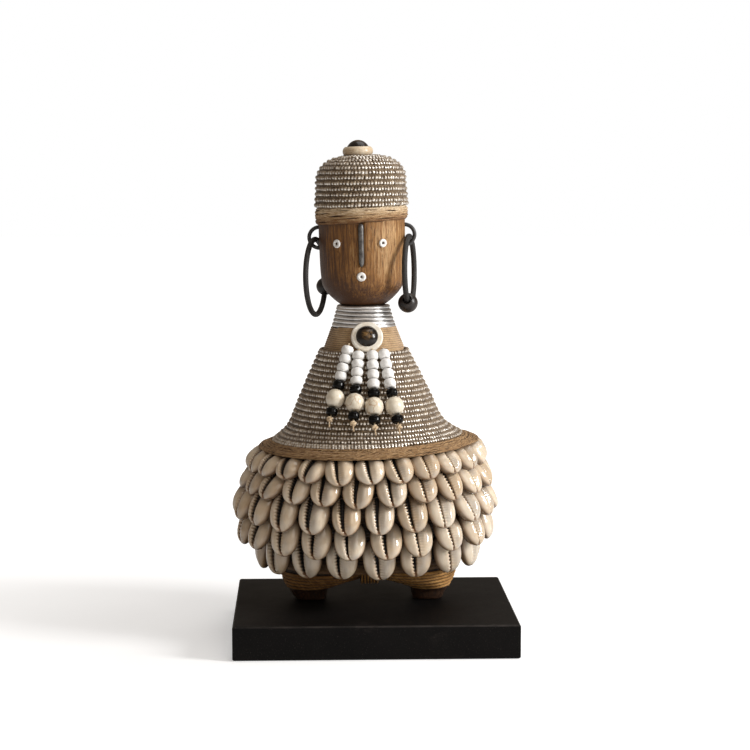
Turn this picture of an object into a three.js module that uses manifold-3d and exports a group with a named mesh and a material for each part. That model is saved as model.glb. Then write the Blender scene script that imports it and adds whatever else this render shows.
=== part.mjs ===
// Carved doll dressed in wound beads, wire, twine and cowrie shells, standing on a display block.
// Millimetres, +Z up. The origin is the middle of the block's underside and the doll faces -Y.
// Left and right are the viewer's: left is -X.

import * as THREE from 'three';
import { mergeVertices } from 'three/addons/utils/BufferGeometryUtils.js';
import Module from 'manifold-3d';

const wasm = await Module();
wasm.setup();

// Clearances
const SEAT_GAP = 0.3;
const WINDING_GAP = 0.35;
const BORE_GAP = 0.4;
const LINK_GAP = 0.35;

// Display block
const BLOCK_WIDTH = 150;
const BLOCK_DEPTH = 120;
const BLOCK_HEIGHT = 18;
const BLOCK_EDGE = 0.8;

// Stand of the doll on the block
const DOLL_X = -1.8;
const DOLL_Y = 8;
const DOLL_LEAN = 1.1;

// Screws from under the block into the feet
const SCREW_RADIUS = 1.7;
const SCREW_HEAD_RADIUS = 3.6;
const SCREW_HEAD_DEPTH = 2.4;
const SCREW_SINK = 0.6;
const SCREW_GRIP = 11;
const SCREW_SLOT_WIDTH = 0.9;
const SCREW_SLOT_DEPTH = 0.9;

// Faceting
const TURN_STEPS = 16;
const HEAD_STEPS = 24;
const SKIRT_STEPS = 16;
const HEM_STEPS = 24;
const LEG_STEPS = 12;

// Legs and feet, for the left side; heights are above the block
const FOOT_X = 32;
const FOOT_Y = 1.5;
const FOOT_SOLE_HALF_WIDTH = 8.2;
const FOOT_TOP_HALF_WIDTH = 10.2;
const FOOT_HALF_DEPTH = 8.6;
const LEG_ROPE_BOTTOM = 6.4;
const LEG_ROPE_TOP = 19.9;
const LEG_ROPE_DIAMETER = 1.5;
const LEG_ROPE_PITCH = 1.95;
const LEG_OUTER_LOW = 44.6;
const LEG_OUTER_HIGH = 48.8;
const LEG_INNER_LOW = 22;
const LEG_INNER_HIGH = 0.35;
const ARCH_HEIGHT = 13.5;
const LEG_DEPTH_LOW = 12.5;
const LEG_DEPTH_HIGH = 32;

// Lashing that ties the two wrapped legs together
const LASHING_HALF_WIDTH = 5;
const LASHING_GAP = 0.51;
const LASHING_THICKNESS = 1.3;
const LASHING_TOP = 19.4;
const LASHING_CORDS = 6;

// Skirt core: it starts just over the leg ropes
const SKIRT_LEG_STEP = 0.6;
const SKIRT_BOTTOM = LEG_ROPE_TOP + SKIRT_LEG_STEP;
const SKIRT_WRAP_THICKNESS = 1.3;

// Cowrie rows from the top down. Each radius is at the shell's middle, at the doll's sides; rise is its
// height over the skirt core's foot, squash is the row's depth over its width, and phase places its
// front shell as a share of the spacing.
const COWRIE_ROWS = [
	{ count: 24, radius: 59.6, squash: 0.95, rise: 58.85, tilt: 50, size: [14.4, 14, 5.4], phase: 0 },
	{ count: 22, radius: 62.5, squash: 0.9, rise: 47.9, tilt: 37, size: [16.2, 19.4, 6.7], phase: -0.36 },
	{ count: 22, radius: 65.9, squash: 0.85, rise: 34.8, tilt: 31, size: [16.4, 21.5, 7.2], phase: 0.34 },
	{ count: 20, radius: 64.3, squash: 0.8, rise: 21.1, tilt: 25, size: [17, 21.5, 7.5], phase: 0.48 },
	{ count: 16, radius: 56.9, squash: 0.75, rise: 9.3, tilt: 6, size: [17.6, 21, 7.5], phase: 0.23 },
];
const SKIRT_OVER_FIRST_ROW = 4.65;
const SKIRT_TOP = SKIRT_BOTTOM + COWRIE_ROWS[0].rise + SKIRT_OVER_FIRST_ROW;

// Torso outline over the beads: the hem, the waist above it and the top
const TORSO_HEM_RISE = 6.7;
const TORSO_HEM_HEIGHT = SKIRT_TOP + TORSO_HEM_RISE;
const TORSO_FLARE_RISE = 10.3;
const TORSO_WAIST_HEIGHT = TORSO_HEM_HEIGHT + TORSO_FLARE_RISE;
const TORSO_SLOPE_RISE = 37.4;
const TORSO_TOP_HEIGHT = TORSO_WAIST_HEIGHT + TORSO_SLOPE_RISE;
const TORSO_TOP_RADIUS = 24.1;
const TORSO_WAIST_RADIUS = 41.4;
const TORSO_HEM_RADIUS = 51.6;
const TORSO_BULGE = 0.5;
const TORSO_BEAD_DIAMETER = 2.2;
const TORSO_BEAD_PITCH = 2.8;

// Raffia band at the hem of the torso
const HEM_WIDTH = 6.8;
const HEM_OUTER_RADIUS = TORSO_HEM_RADIUS + HEM_WIDTH;
const HEM_OUTER_RISE = 1.8;
const HEM_OUTER_HEIGHT = SKIRT_TOP + HEM_OUTER_RISE;
const HEM_THICKNESS = 1.7;

// Neck outlines: twine below, wire above
const NECK_STEP_IN = 2.2;
const NECK_STEP_UP = 0.5;
const NECK_TWINE_BOTTOM_RADIUS = TORSO_TOP_RADIUS - NECK_STEP_IN;
const NECK_TWINE_BOTTOM_HEIGHT = TORSO_TOP_HEIGHT + NECK_STEP_UP;
const NECK_TWINE_TAPER = 4.5;
const NECK_TWINE_RISE = 11.7;
const NECK_TWINE_TOP_RADIUS = NECK_TWINE_BOTTOM_RADIUS - NECK_TWINE_TAPER;
const NECK_TWINE_TOP_HEIGHT = NECK_TWINE_BOTTOM_HEIGHT + NECK_TWINE_RISE;
const NECK_TWINE_DIAMETER = 0.95;
const NECK_TWINE_PITCH = 1.42;
const NECK_WIRE_TAPER = 3.3;
const NECK_WIRE_RISE = 11.8;
const NECK_WIRE_TOP_RADIUS = NECK_TWINE_TOP_RADIUS - NECK_WIRE_TAPER;
const NECK_WIRE_TOP_HEIGHT = NECK_TWINE_TOP_HEIGHT + NECK_WIRE_RISE;
const NECK_WIRE_DIAMETER = 1.8;
const NECK_WIRE_PITCH = 2.2;

// Head
const HEAD_NECK_GAP = 0.6;
const HEAD_BOTTOM_HEIGHT = NECK_WIRE_TOP_HEIGHT + HEAD_NECK_GAP;
const CHIN_STEP_IN = 0.8;
const HEAD_CHIN_RADIUS = NECK_WIRE_TOP_RADIUS - CHIN_STEP_IN;
const HEAD_RADIUS = 23.4;
const CHEEK_STEP_IN = 0.3;
const HEAD_CHEEK_RADIUS = HEAD_RADIUS - CHEEK_STEP_IN;
const CHEEK_RISE = 19;
const HEAD_CHEEK_HEIGHT = HEAD_BOTTOM_HEIGHT + CHEEK_RISE;
const FACE_LENGTH = 44;

// Hat
const HAT_BAND_BOTTOM = HEAD_BOTTOM_HEIGHT + FACE_LENGTH;
const HAT_BAND_WIDTH = 5.4;
const HAT_BAND_TOP = HAT_BAND_BOTTOM + HAT_BAND_WIDTH;
const HAT_BAND_BUILD = 1.8;
const HAT_BAND_RADIUS = HEAD_RADIUS + HAT_BAND_BUILD;
const HAT_RIM_OVERHANG = 2.5;
const HAT_RIM_GAP = 0.8;
const HAT_RIM_RADIUS = HEAD_RADIUS + HAT_RIM_OVERHANG;
const HAT_RIM_HEIGHT = HAT_BAND_TOP + HAT_RIM_GAP;
const HEAD_TOP_DROP = 0.2;
const HEAD_TOP_HEIGHT = HAT_RIM_HEIGHT - HEAD_TOP_DROP;
const HAT_SHOULDER_TAPER = 1;
const HAT_SHOULDER_RISE = 12.8;
const HAT_SHOULDER_RADIUS = HAT_RIM_RADIUS - HAT_SHOULDER_TAPER;
const HAT_SHOULDER_HEIGHT = HAT_RIM_HEIGHT + HAT_SHOULDER_RISE;
const HAT_CROWN_RISE = 17.5;
const HAT_TOP_HEIGHT = HAT_SHOULDER_HEIGHT + HAT_CROWN_RISE;
const HAT_ROUNDNESS = 2.9;
const HAT_BEAD_DIAMETER = 2.3;
const HAT_BEAD_PITCH = 2.98;

// Discs and domes: one pair on the hat, one at the throat
const HAT_DISC_X = -1.3;
const HAT_DISC_RADIUS = 8.25;
const HAT_DISC_THICKNESS = 3.4;
const HAT_DOME_RADIUS = 5.8;
const HAT_DOME_HEIGHT = 4.2;
const BROOCH_DISC_RADIUS = 8.65;
const BROOCH_DISC_THICKNESS = 2.4;
const BROOCH_DOME_RADIUS = 5.75;
const BROOCH_DOME_HEIGHT = 3.4;
const BROOCH_X = 1;
const BROOCH_DROP = 4.3;
const BROOCH_HEIGHT = NECK_TWINE_TOP_HEIGHT - BROOCH_DROP;

// Face, as turns about the doll's axis from straight ahead, in degrees towards +X
const FACE_TURN = -5;
const EYE_SPREAD = 31;
const EYE_DROP = 10.7;
const EYE_HEIGHT = HAT_BAND_BOTTOM - EYE_DROP;
const MOUTH_TURN = -3.4;
const MOUTH_RISE = 15.6;
const MOUTH_HEIGHT = HEAD_BOTTOM_HEIGHT + MOUTH_RISE;
const RING_BEAD_RADIUS = 1.5;
const EYE_BEAD_TUBE = 0.7;
const MOUTH_BEAD_TUBE = 0.9;
const PIN_GAP = 0.18;
const PIN_RADIUS = RING_BEAD_RADIUS - MOUTH_BEAD_TUBE - PIN_GAP;
const PIN_DEPTH = 4;
const NOSE_TURN = -2.8;
const NOSE_RADIUS = 1.45;
const NOSE_LENGTH = 23.3;
const NOSE_BOTTOM = HAT_BAND_BOTTOM - NOSE_LENGTH;
const NOSE_POINT_LENGTH = 2.6;

// Ear loops and hoops; a loop's drop is its middle's distance under the hat band
const EAR_LOOP_TUBE = 1.05;
const EAR_LOOP_DEPTH = 3.2;
const EAR_LINK_DROP = 0.97;
const HOOP_TUBE = 1.5;
const HOOP_HEAD_GAP = 0.5;
const EARS = {
	left: { side: -1, drop: 8, foreAft: 3, hoopRadius: 20.4, hoopTurn: 15.5, beadRadius: 4.9, beadTurn: 72 },
	right: { side: 1, drop: 7.1, foreAft: -3, hoopRadius: 18.7, hoopTurn: 11, beadRadius: 5.35, beadTurn: -26 },
};

// Room between the shells' backs and the skirt core's twine
const SHELL_BACK_CLEARANCE = 0.6;

// The cord that a row is sewn on; its place is a share of a shell's thickness behind, and of its length above
const ROW_CORD_RADIUS = 0.6;
const ROW_CORD_BEHIND = 0.2;
const ROW_CORD_ABOVE = 0.17;

// Strands that hang from under the brooch: middles of the first bead and of the howlite bead, as x and height
// over the torso's top, and the height of each white bead
const STRANDS = [
	{ first: [-9.7, 1.5], howlite: [-16.7, -22.3], beadHeight: 5 },
	{ first: [-4, -1.3], howlite: [-6.7, -24.8], beadHeight: 4.8 },
	{ first: [3.5, -1.5], howlite: [3.4, -27.2], beadHeight: 5.4 },
	{ first: [9.7, -1.1], howlite: [14.3, -27.5], beadHeight: 5.6 },
];
const WHITE_BEADS = 4;
const WHITE_BEAD_RADIUS = 3.3;
const BLACK_BEAD_RADIUS = 3.25;
const BLACK_BEAD_HEIGHT = 4.6;
const HOWLITE_RADIUS = 4.95;
const THREAD_RADIUS = 0.45;
const THREAD_LEAD = 1.4;
const KNOT_RADIUS = 1.7;
const TAIL_LENGTH = 4.2;

const rad = THREE.MathUtils.degToRad;
const vec = (x, y, z) => new THREE.Vector3(x, y, z);

function material(colour, roughness, metalness = 0) {
	return new THREE.MeshStandardMaterial({ color: colour, roughness, metalness });
}

const BLACK_PAINT = material(0x1b1a1a, 0.7);
const STEEL = material(0x8d8d8d, 0.35, 0.9);
const CARVED_WOOD = material(0x8a5a32, 0.55);
const DARK_IRON = material(0x55524f, 0.5, 0.7);
const WHITE_BEAD = material(0xf0ece4, 0.45);
const BROWN_PIN = material(0x4b3524, 0.6);
const BLACK_RUBBER = material(0x3a3634, 0.6);
const BRIGHT_WIRE = material(0xd2d4d6, 0.22, 1);
const TWINE = material(0x9a7b54, 0.85);
const SEED_BEADS = material(0xa89b88, 0.25, 0.2);
const RAFFIA = material(0xb08a5c, 0.8);
const BONE = material(0xe6dac3, 0.4);
const DARK_GLASS = material(0x2a241f, 0.12);
const DARK_TWINE = material(0x3c2c1f, 0.9);
const COWRIE = material(0xd9cbb5, 0.25);
const ROPE = material(0xa08055, 0.85);
const BLACK_GLASS = material(0x111010, 0.12);
const HOWLITE = material(0xe8e0d0, 0.35);

// Geometry helpers

function faceOutward(geometry) {
	const p = geometry.attributes.position;
	const index = geometry.index.array;
	let volume = 0;
	for (let i = 0; i < index.length; i += 3) {
		const [a, b, c] = [0, 1, 2].map((k) => new THREE.Vector3().fromBufferAttribute(p, index[i + k]));
		volume += a.dot(b.cross(c));
	}
	if (volume < 0) {
		for (let i = 0; i < index.length; i += 3) {
			[index[i], index[i + 1]] = [index[i + 1], index[i]];
		}
	}
	return geometry;
}

// Joins rings of points one after the other. A ring of one point is a tip; an open end gets a flat cap.
function skin(rings, closed = false) {
	const positions = [];
	const index = [];
	const starts = rings.map((ring) => {
		const start = positions.length / 3;
		ring.forEach((point) => positions.push(point.x, point.y, point.z));
		return start;
	});
	const bands = closed ? rings.length : rings.length - 1;
	for (let r = 0; r < bands; r++) {
		const next = (r + 1) % rings.length;
		const [a, b] = [starts[r], starts[next]];
		const [na, nb] = [rings[r].length, rings[next].length];
		const n = Math.max(na, nb);
		for (let i = 0; i < n; i++) {
			const j = (i + 1) % n;
			if (nb > 1) index.push(a + (na > 1 ? i : 0), b + j, b + i);
			if (na > 1) index.push(a + i, a + j, b + (nb > 1 ? j : 0));
		}
	}
	if (!closed) {
		const cap = (start, n, turn) => {
			for (let i = 1; i < n - 1; i++) {
				index.push(start, start + (turn ? i + 1 : i), start + (turn ? i : i + 1));
			}
		};
		cap(starts[0], rings[0].length, true);
		cap(starts.at(-1), rings.at(-1).length, false);
	}
	const geometry = new THREE.BufferGeometry();
	geometry.setAttribute('position', new THREE.Float32BufferAttribute(positions, 3));
	geometry.setIndex(index);
	return faceOutward(geometry);
}

function ellipseRing(steps, radiusX, radiusY, z, x = 0, y = 0) {
	return Array.from({ length: steps }, (_, i) => {
		const angle = (2 * Math.PI * i) / steps;
		return vec(x + radiusX * Math.cos(angle), y + radiusY * Math.sin(angle), z);
	});
}

// Turns a profile of [radius, z] points about Z. A radius of 0 is a tip on the axis.
function revolve(profile, steps, closed = false) {
	return skin(profile.map(([r, z]) => (r === 0 ? [vec(0, 0, z)] : ellipseRing(steps, r, r, z))), closed);
}

// A tube along points. The section at each point is spanned by its own pair of directions.
function tube(points, frames, radius, sides, closed = false) {
	const rings = points.map((point, k) => Array.from({ length: sides }, (_, i) => {
		const angle = (2 * Math.PI * i) / sides;
		return point.clone()
			.addScaledVector(frames[k][0], radius * Math.cos(angle))
			.addScaledVector(frames[k][1], radius * Math.sin(angle));
	}));
	return skin(rings, closed);
}

// A section square to a run, turned towards a guide direction
function squareFrame(guide, run) {
	const first = guide.clone().addScaledVector(run, -guide.dot(run)).normalize();
	return [first, run.clone().cross(first)];
}

// Frames along a bent run whose bends keep clear of the guide direction
function guidedFrames(points, guide) {
	return points.map((point, k) => {
		const before = points[Math.max(k - 1, 0)];
		const after = points[Math.min(k + 1, points.length - 1)];
		return squareFrame(guide, after.clone().sub(before).normalize());
	});
}

function sphere(radius, segments, rings) {
	const geometry = new THREE.SphereGeometry(radius, segments, rings).rotateX(Math.PI / 2);
	return weld(geometry);
}

function weld(geometry) {
	geometry.deleteAttribute('normal');
	geometry.deleteAttribute('uv');
	return mergeVertices(geometry, 1e-4);
}

function toSolid(geometry) {
	const mesh = new wasm.Mesh({
		numProp: 3,
		vertProperties: new Float32Array(geometry.attributes.position.array),
		triVerts: new Uint32Array(geometry.index.array),
	});
	mesh.merge();
	return new wasm.Manifold(mesh);
}

function toGeometry(solid) {
	const mesh = solid.getMesh();
	const geometry = new THREE.BufferGeometry();
	geometry.setAttribute('position', new THREE.Float32BufferAttribute(mesh.vertProperties, 3));
	geometry.setIndex(Array.from(mesh.triVerts));
	return geometry;
}

function combine(base, joined = [], cut = []) {
	let solid = toSolid(base);
	joined.forEach((geometry) => { solid = solid.add(toSolid(geometry)); });
	cut.forEach((geometry) => { solid = solid.subtract(toSolid(geometry)); });
	return toGeometry(solid);
}

function rod(radius, from, to, steps = 8) {
	const run = to.clone().sub(from);
	const geometry = revolve([[0, 0], [radius, 0], [radius, run.length()], [0, run.length()]], steps);
	const turn = new THREE.Quaternion().setFromUnitVectors(vec(0, 0, 1), run.normalize());
	return geometry.applyQuaternion(turn).translate(from.x, from.y, from.z);
}

// Groups

const model = new THREE.Group();
const doll = new THREE.Group();
doll.position.set(DOLL_X, DOLL_Y, BLOCK_HEIGHT);
doll.rotation.y = rad(-DOLL_LEAN);
doll.updateMatrix();
model.add(doll);
const intoDoll = doll.matrix.clone().invert();

function addPiece(group, name, geometry, look) {
	const mesh = new THREE.Mesh(geometry, look);
	mesh.name = name;
	group.add(mesh);
	return mesh;
}

// A direction from the doll's axis, in degrees from straight ahead towards +X
function ahead(turn) {
	return vec(Math.sin(rad(turn)), -Math.cos(rad(turn)), 0);
}

// Outlines and windings

// How far a cord's section reaches inwards from its middle: a section of odd sides has a flat there
function inwardReach({ diameter, sides }) {
	return (diameter / 2) * (sides % 2 ? Math.cos(Math.PI / sides) : 1);
}

class Outline {
	constructor(points) {
		this.curve = new THREE.SplineCurve(points.map(([r, z]) => new THREE.Vector2(r, z)));
		this.length = this.curve.getLength();
	}

	// Point at a distance along the outline from its top, sunk inwards by a depth
	at(distance, depth = 0) {
		const share = THREE.MathUtils.clamp(distance / this.length, 0, 1);
		const point = this.curve.getPointAt(share);
		const along = this.curve.getTangentAt(share);
		return {
			r: point.x + along.y * depth,
			z: point.y - along.x * depth,
			out: new THREE.Vector2(-along.y, along.x),
			along,
		};
	}

	radiusAt(z) {
		let low = 0;
		let high = this.length;
		for (let i = 0; i < 30; i++) {
			const middle = (low + high) / 2;
			if (this.at(middle).z > z) low = middle;
			else high = middle;
		}
		return this.at(low).r;
	}

	// Profile of a core that carries a winding, its points closer together towards the bottom
	core(winding, count) {
		const depth = winding.diameter / 2 + inwardReach(winding) + WINDING_GAP;
		return Array.from({ length: count }, (_, i) => {
			const point = this.at(this.length * (i / (count - 1)) ** 0.6, depth);
			return [point.r, point.z];
		});
	}
}

// Least distance between points of a tube that are at least half a turn apart along it
function leastSelfGap(geometry, sides, stepsPerTurn) {
	const p = geometry.attributes.position;
	const rings = p.count / sides;
	let least = Infinity;
	for (let a = 0; a < rings; a++) {
		for (let b = a + Math.ceil(stepsPerTurn / 2); b < rings; b++) {
			for (let i = 0; i < sides; i++) {
				const from = new THREE.Vector3().fromBufferAttribute(p, a * sides + i);
				for (let j = 0; j < sides; j++) {
					const to = new THREE.Vector3().fromBufferAttribute(p, b * sides + j);
					least = Math.min(least, from.distanceTo(to));
				}
			}
		}
	}
	return least;
}

function reportGap(name, geometry, sides, stepsPerTurn, steps) {
	const gap = leastSelfGap(geometry, sides, stepsPerTurn);
	console.log(`${name}: ${(steps / stepsPerTurn).toFixed(1)} turns, least gap to itself ${gap.toFixed(2)} mm`);
}

// One unbroken cord through points, its ends straight for one diameter and cut square
function windCord(points, frames, diameter, sides) {
	const ends = [[points[1], points[0], frames[0]], [points.at(-2), points.at(-1), frames.at(-1)]];
	const [head, tail] = ends.map(([before, last, [guide, beside]]) => {
		const run = last.clone().sub(before).normalize();
		const [first, second] = squareFrame(guide, run);
		return {
			point: last.clone().addScaledVector(run, diameter),
			frame: [first, second.multiplyScalar(Math.sign(second.dot(beside)))],
		};
	});
	return tube([head.point, ...points, tail.point], [head.frame, ...frames, tail.frame], diameter / 2, sides);
}

function windRound(name, { outline, diameter, pitch, sides }) {
	const steps = Math.floor(((outline.length - diameter) / pitch) * TURN_STEPS);
	const points = [];
	const frames = [];
	for (let k = 0; k <= steps; k++) {
		const angle = (2 * Math.PI * (k % TURN_STEPS)) / TURN_STEPS;
		const place = outline.at((diameter + (pitch * k * 2) / TURN_STEPS) / 2, diameter / 2);
		const spoke = vec(Math.cos(angle), Math.sin(angle), 0);
		points.push(spoke.clone().multiplyScalar(place.r).setZ(place.z));
		frames.push([
			spoke.clone().multiplyScalar(place.out.x).setZ(place.out.y),
			spoke.clone().multiplyScalar(-place.along.x).setZ(-place.along.y),
		]);
	}
	const geometry = windCord(points, frames, diameter, sides);
	reportGap(name, geometry, sides, TURN_STEPS, steps);
	return geometry;
}

// The hat's outline: a tapered side and a rounded crown
function hatPoints() {
	const crownHeight = HAT_TOP_HEIGHT - HAT_SHOULDER_HEIGHT;
	const points = [];
	for (let i = 0; i <= 8; i++) {
		const radius = THREE.MathUtils.lerp(HAT_DISC_RADIUS + 1, HAT_SHOULDER_RADIUS, Math.sin((i / 8) * Math.PI / 2));
		const share = Math.max(0, 1 - (radius / HAT_SHOULDER_RADIUS) ** HAT_ROUNDNESS);
		points.push([radius, HAT_SHOULDER_HEIGHT + crownHeight * share ** (1 / HAT_ROUNDNESS)]);
	}
	points.push([(HAT_SHOULDER_RADIUS + HAT_RIM_RADIUS) / 2, (HAT_SHOULDER_HEIGHT + HAT_RIM_HEIGHT) / 2]);
	points.push([HAT_RIM_RADIUS, HAT_RIM_HEIGHT]);
	return points;
}

function torsoPoints() {
	const slope = (share) => [
		THREE.MathUtils.lerp(TORSO_TOP_RADIUS, TORSO_WAIST_RADIUS, share) + TORSO_BULGE * Math.sin(Math.PI * share),
		THREE.MathUtils.lerp(TORSO_TOP_HEIGHT, TORSO_WAIST_HEIGHT, share),
	];
	const flare = (share) => [
		TORSO_WAIST_RADIUS + (TORSO_HEM_RADIUS - TORSO_WAIST_RADIUS) * share ** 1.5,
		THREE.MathUtils.lerp(TORSO_WAIST_HEIGHT, TORSO_HEM_HEIGHT, share),
	];
	return [slope(0), slope(0.33), slope(0.67), slope(1), flare(0.35), flare(0.7), flare(1)];
}

const HAT_BEADS = {
	outline: new Outline(hatPoints()),
	diameter: HAT_BEAD_DIAMETER,
	pitch: HAT_BEAD_PITCH,
	sides: 3,
};
const TORSO_BEADS = {
	outline: new Outline(torsoPoints()),
	diameter: TORSO_BEAD_DIAMETER,
	pitch: TORSO_BEAD_PITCH,
	sides: 3,
};
const NECK_TWINE = {
	outline: new Outline([
		[NECK_TWINE_TOP_RADIUS, NECK_TWINE_TOP_HEIGHT],
		[NECK_TWINE_BOTTOM_RADIUS, NECK_TWINE_BOTTOM_HEIGHT],
	]),
	diameter: NECK_TWINE_DIAMETER,
	pitch: NECK_TWINE_PITCH,
	sides: 3,
};
const NECK_WIRE = {
	outline: new Outline([
		[NECK_WIRE_TOP_RADIUS, NECK_WIRE_TOP_HEIGHT],
		[NECK_TWINE_TOP_RADIUS, NECK_TWINE_TOP_HEIGHT],
	]),
	diameter: NECK_WIRE_DIAMETER,
	pitch: NECK_WIRE_PITCH,
	sides: 5,
};

// Legs: each is a stack of level ellipses that spread outwards and meet above the arch

function legSection(z, sink = 0) {
	const share = (height, top) => THREE.MathUtils.clamp((height - LEG_ROPE_BOTTOM) / (top - LEG_ROPE_BOTTOM), 0, 1);
	const rise = share(z, LEG_ROPE_TOP);
	const lower = z - sink;
	const outer = THREE.MathUtils.lerp(LEG_OUTER_LOW, LEG_OUTER_HIGH, 1 - (1 - rise) ** 2) - sink;
	const inner = THREE.MathUtils.lerp(LEG_INNER_LOW, LEG_INNER_HIGH, share(lower, ARCH_HEIGHT + 1) ** 1.3) + sink / 2;
	const depth = THREE.MathUtils.lerp(LEG_DEPTH_LOW, LEG_DEPTH_HIGH, share(lower, LEG_ROPE_TOP) ** 0.85);
	return {
		x: (outer + inner) / 2,
		y: FOOT_Y * (1 - rise),
		halfWidth: (outer - inner) / 2,
		halfDepth: depth - sink / 2,
	};
}

function legRing(z, side, sink) {
	const section = legSection(z, sink);
	return ellipseRing(LEG_STEPS, section.halfWidth, section.halfDepth, z, side * section.x, section.y);
}

function carvedLeg(side) {
	const sink = LEG_ROPE_DIAMETER + 3 * WINDING_GAP;
	const levels = 5;
	const ankle = [side * (FOOT_X + 1), FOOT_Y];
	const rings = [
		ellipseRing(LEG_STEPS, FOOT_SOLE_HALF_WIDTH, FOOT_HALF_DEPTH, -3, side * FOOT_X, FOOT_Y),
		ellipseRing(LEG_STEPS, FOOT_TOP_HALF_WIDTH, FOOT_HALF_DEPTH + 1.6, LEG_ROPE_BOTTOM - 0.6, ...ankle),
	];
	for (let i = 0; i <= levels; i++) {
		const z = THREE.MathUtils.lerp(LEG_ROPE_BOTTOM + 0.6, LEG_ROPE_TOP, i / levels);
		rings.push(legRing(z, side, sink));
	}
	rings.push(legRing(LEG_ROPE_TOP, side, sink + 3).map((point) => point.setZ(SKIRT_BOTTOM + 6)));
	return skin(rings);
}

function windLeg(name, side) {
	const height = LEG_ROPE_TOP - LEG_ROPE_BOTTOM - LEG_ROPE_DIAMETER;
	const steps = Math.floor((height / LEG_ROPE_PITCH) * LEG_STEPS);
	const points = [];
	const frames = [];
	for (let k = 0; k <= steps; k++) {
		const z = LEG_ROPE_BOTTOM + LEG_ROPE_DIAMETER / 2 + (LEG_ROPE_PITCH * k) / LEG_STEPS;
		const angle = (2 * Math.PI * (k % LEG_STEPS)) / LEG_STEPS;
		const section = legSection(z);
		const [a, b] = [section.halfWidth - LEG_ROPE_DIAMETER / 2, section.halfDepth - LEG_ROPE_DIAMETER / 2];
		points.push(vec(side * section.x + a * Math.cos(angle), section.y + b * Math.sin(angle), z));
		frames.push([vec(Math.cos(angle) / a, Math.sin(angle) / b, 0).normalize(), vec(0, 0, 1)]);
	}
	const geometry = windCord(points, frames, LEG_ROPE_DIAMETER, 3);
	reportGap(name, geometry, 3, LEG_STEPS, steps);
	return geometry;
}

// Skirt core and the twine on it follow the backs of the shells

// Lines down a shell at which its section is given: how far from its middle, and how full it is there
const SHELL_SECTIONS = [{ share: 0.28, spread: 0.92 }, { share: -0.26, spread: 0.97 }];

// Points of a row's profile that lie nearest to the core: the shells' upper tips and their backs
function rowBacks({ radius, squash, rise, tilt, size: [, length, thickness] }) {
	const height = SKIRT_BOTTOM + rise;
	const lean = rad(tilt);
	const [upper] = SHELL_SECTIONS;
	const depths = [[length / 2, 0], [upper.share * length, shellDepth(thickness, upper.spread) / 2]];
	return depths.map(([up, back]) => {
		const inset = up * Math.sin(lean) + back * Math.cos(lean) + SHELL_BACK_CLEARANCE;
		return { x: radius - inset, y: radius * squash - inset, z: height + up * Math.cos(lean) - back * Math.sin(lean) };
	});
}

function skirtLevels() {
	const backs = COWRIE_ROWS.flatMap(rowBacks);
	const last = backs.at(-1);
	const top = { ...backs[0], z: SKIRT_TOP - 0.6 };
	return [top, ...backs.slice(2), { x: last.x - 1.5, y: last.y - 1, z: SKIRT_BOTTOM }];
}

function skirtRings(sink) {
	return skirtLevels().map(({ x, y, z }) => ellipseRing(SKIRT_STEPS, x - sink, y - sink, z));
}

function skirtWrap() {
	return skin([...skirtRings(0), ...skirtRings(SKIRT_WRAP_THICKNESS).reverse()], true);
}

function skirtCore() {
	const neck = TORSO_BEADS.outline.core(TORSO_BEADS, 2).at(-1)[0] - 0.6;
	return skin([ellipseRing(SKIRT_STEPS, neck, neck, SKIRT_TOP + 2.6), ...skirtRings(SKIRT_WRAP_THICKNESS + BORE_GAP)]);
}

// The whole carved figure is one piece of wood

function headProfile() {
	const span = HEAD_CHEEK_HEIGHT - HEAD_BOTTOM_HEIGHT;
	const points = [[0, HEAD_BOTTOM_HEIGHT], [HEAD_CHIN_RADIUS, HEAD_BOTTOM_HEIGHT]];
	for (let i = 1; i <= 6; i++) {
		const share = i / 6;
		const swell = (1 - (1 - share) ** 2.6) ** 0.75;
		const radius = THREE.MathUtils.lerp(HEAD_CHIN_RADIUS, HEAD_CHEEK_RADIUS, swell);
		points.push([radius, HEAD_BOTTOM_HEIGHT + span * share]);
	}
	points.push([HEAD_RADIUS, HAT_BAND_BOTTOM - 2], [HEAD_RADIUS, HEAD_TOP_HEIGHT]);
	points.push([0, HEAD_TOP_HEIGHT]);
	return points;
}

function headRadiusAt(z) {
	const points = headProfile().slice(1, -1);
	const next = points.findIndex((point) => point[1] >= z);
	const [[r0, z0], [r1, z1]] = [points[Math.max(next - 1, 0)], points[Math.max(next, 1)]];
	return r0 + ((r1 - r0) * (z - z0)) / (z1 - z0);
}

function upperProfile() {
	const hat = HAT_BEADS.outline.core(HAT_BEADS, 7);
	const wire = NECK_WIRE.outline.core(NECK_WIRE, 2);
	const twine = NECK_TWINE.outline.core(NECK_TWINE, 2);
	const torso = TORSO_BEADS.outline.core(TORSO_BEADS, 10);
	const top = HAT_TOP_HEIGHT - SEAT_GAP;
	const hidden = HEAD_CHIN_RADIUS - 3;
	return [
		[0, top],
		[HAT_DISC_RADIUS - 2.5, top],
		...hat,
		[hidden, hat.at(-1)[1] - 1],
		[hidden, HEAD_BOTTOM_HEIGHT + 3],
		[wire[0][0], HEAD_BOTTOM_HEIGHT + 0.5],
		wire[0],
		[wire[1][0], twine[0][1]],
		twine[0],
		[twine[1][0], torso[0][1]],
		...torso,
		[torso.at(-1)[0] - 0.4, SKIRT_TOP + 2],
		[0, SKIRT_TOP + 2],
	];
}

function nosePoint(z) {
	return ahead(NOSE_TURN).multiplyScalar(HEAD_RADIUS + 0.2).setZ(z);
}

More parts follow.
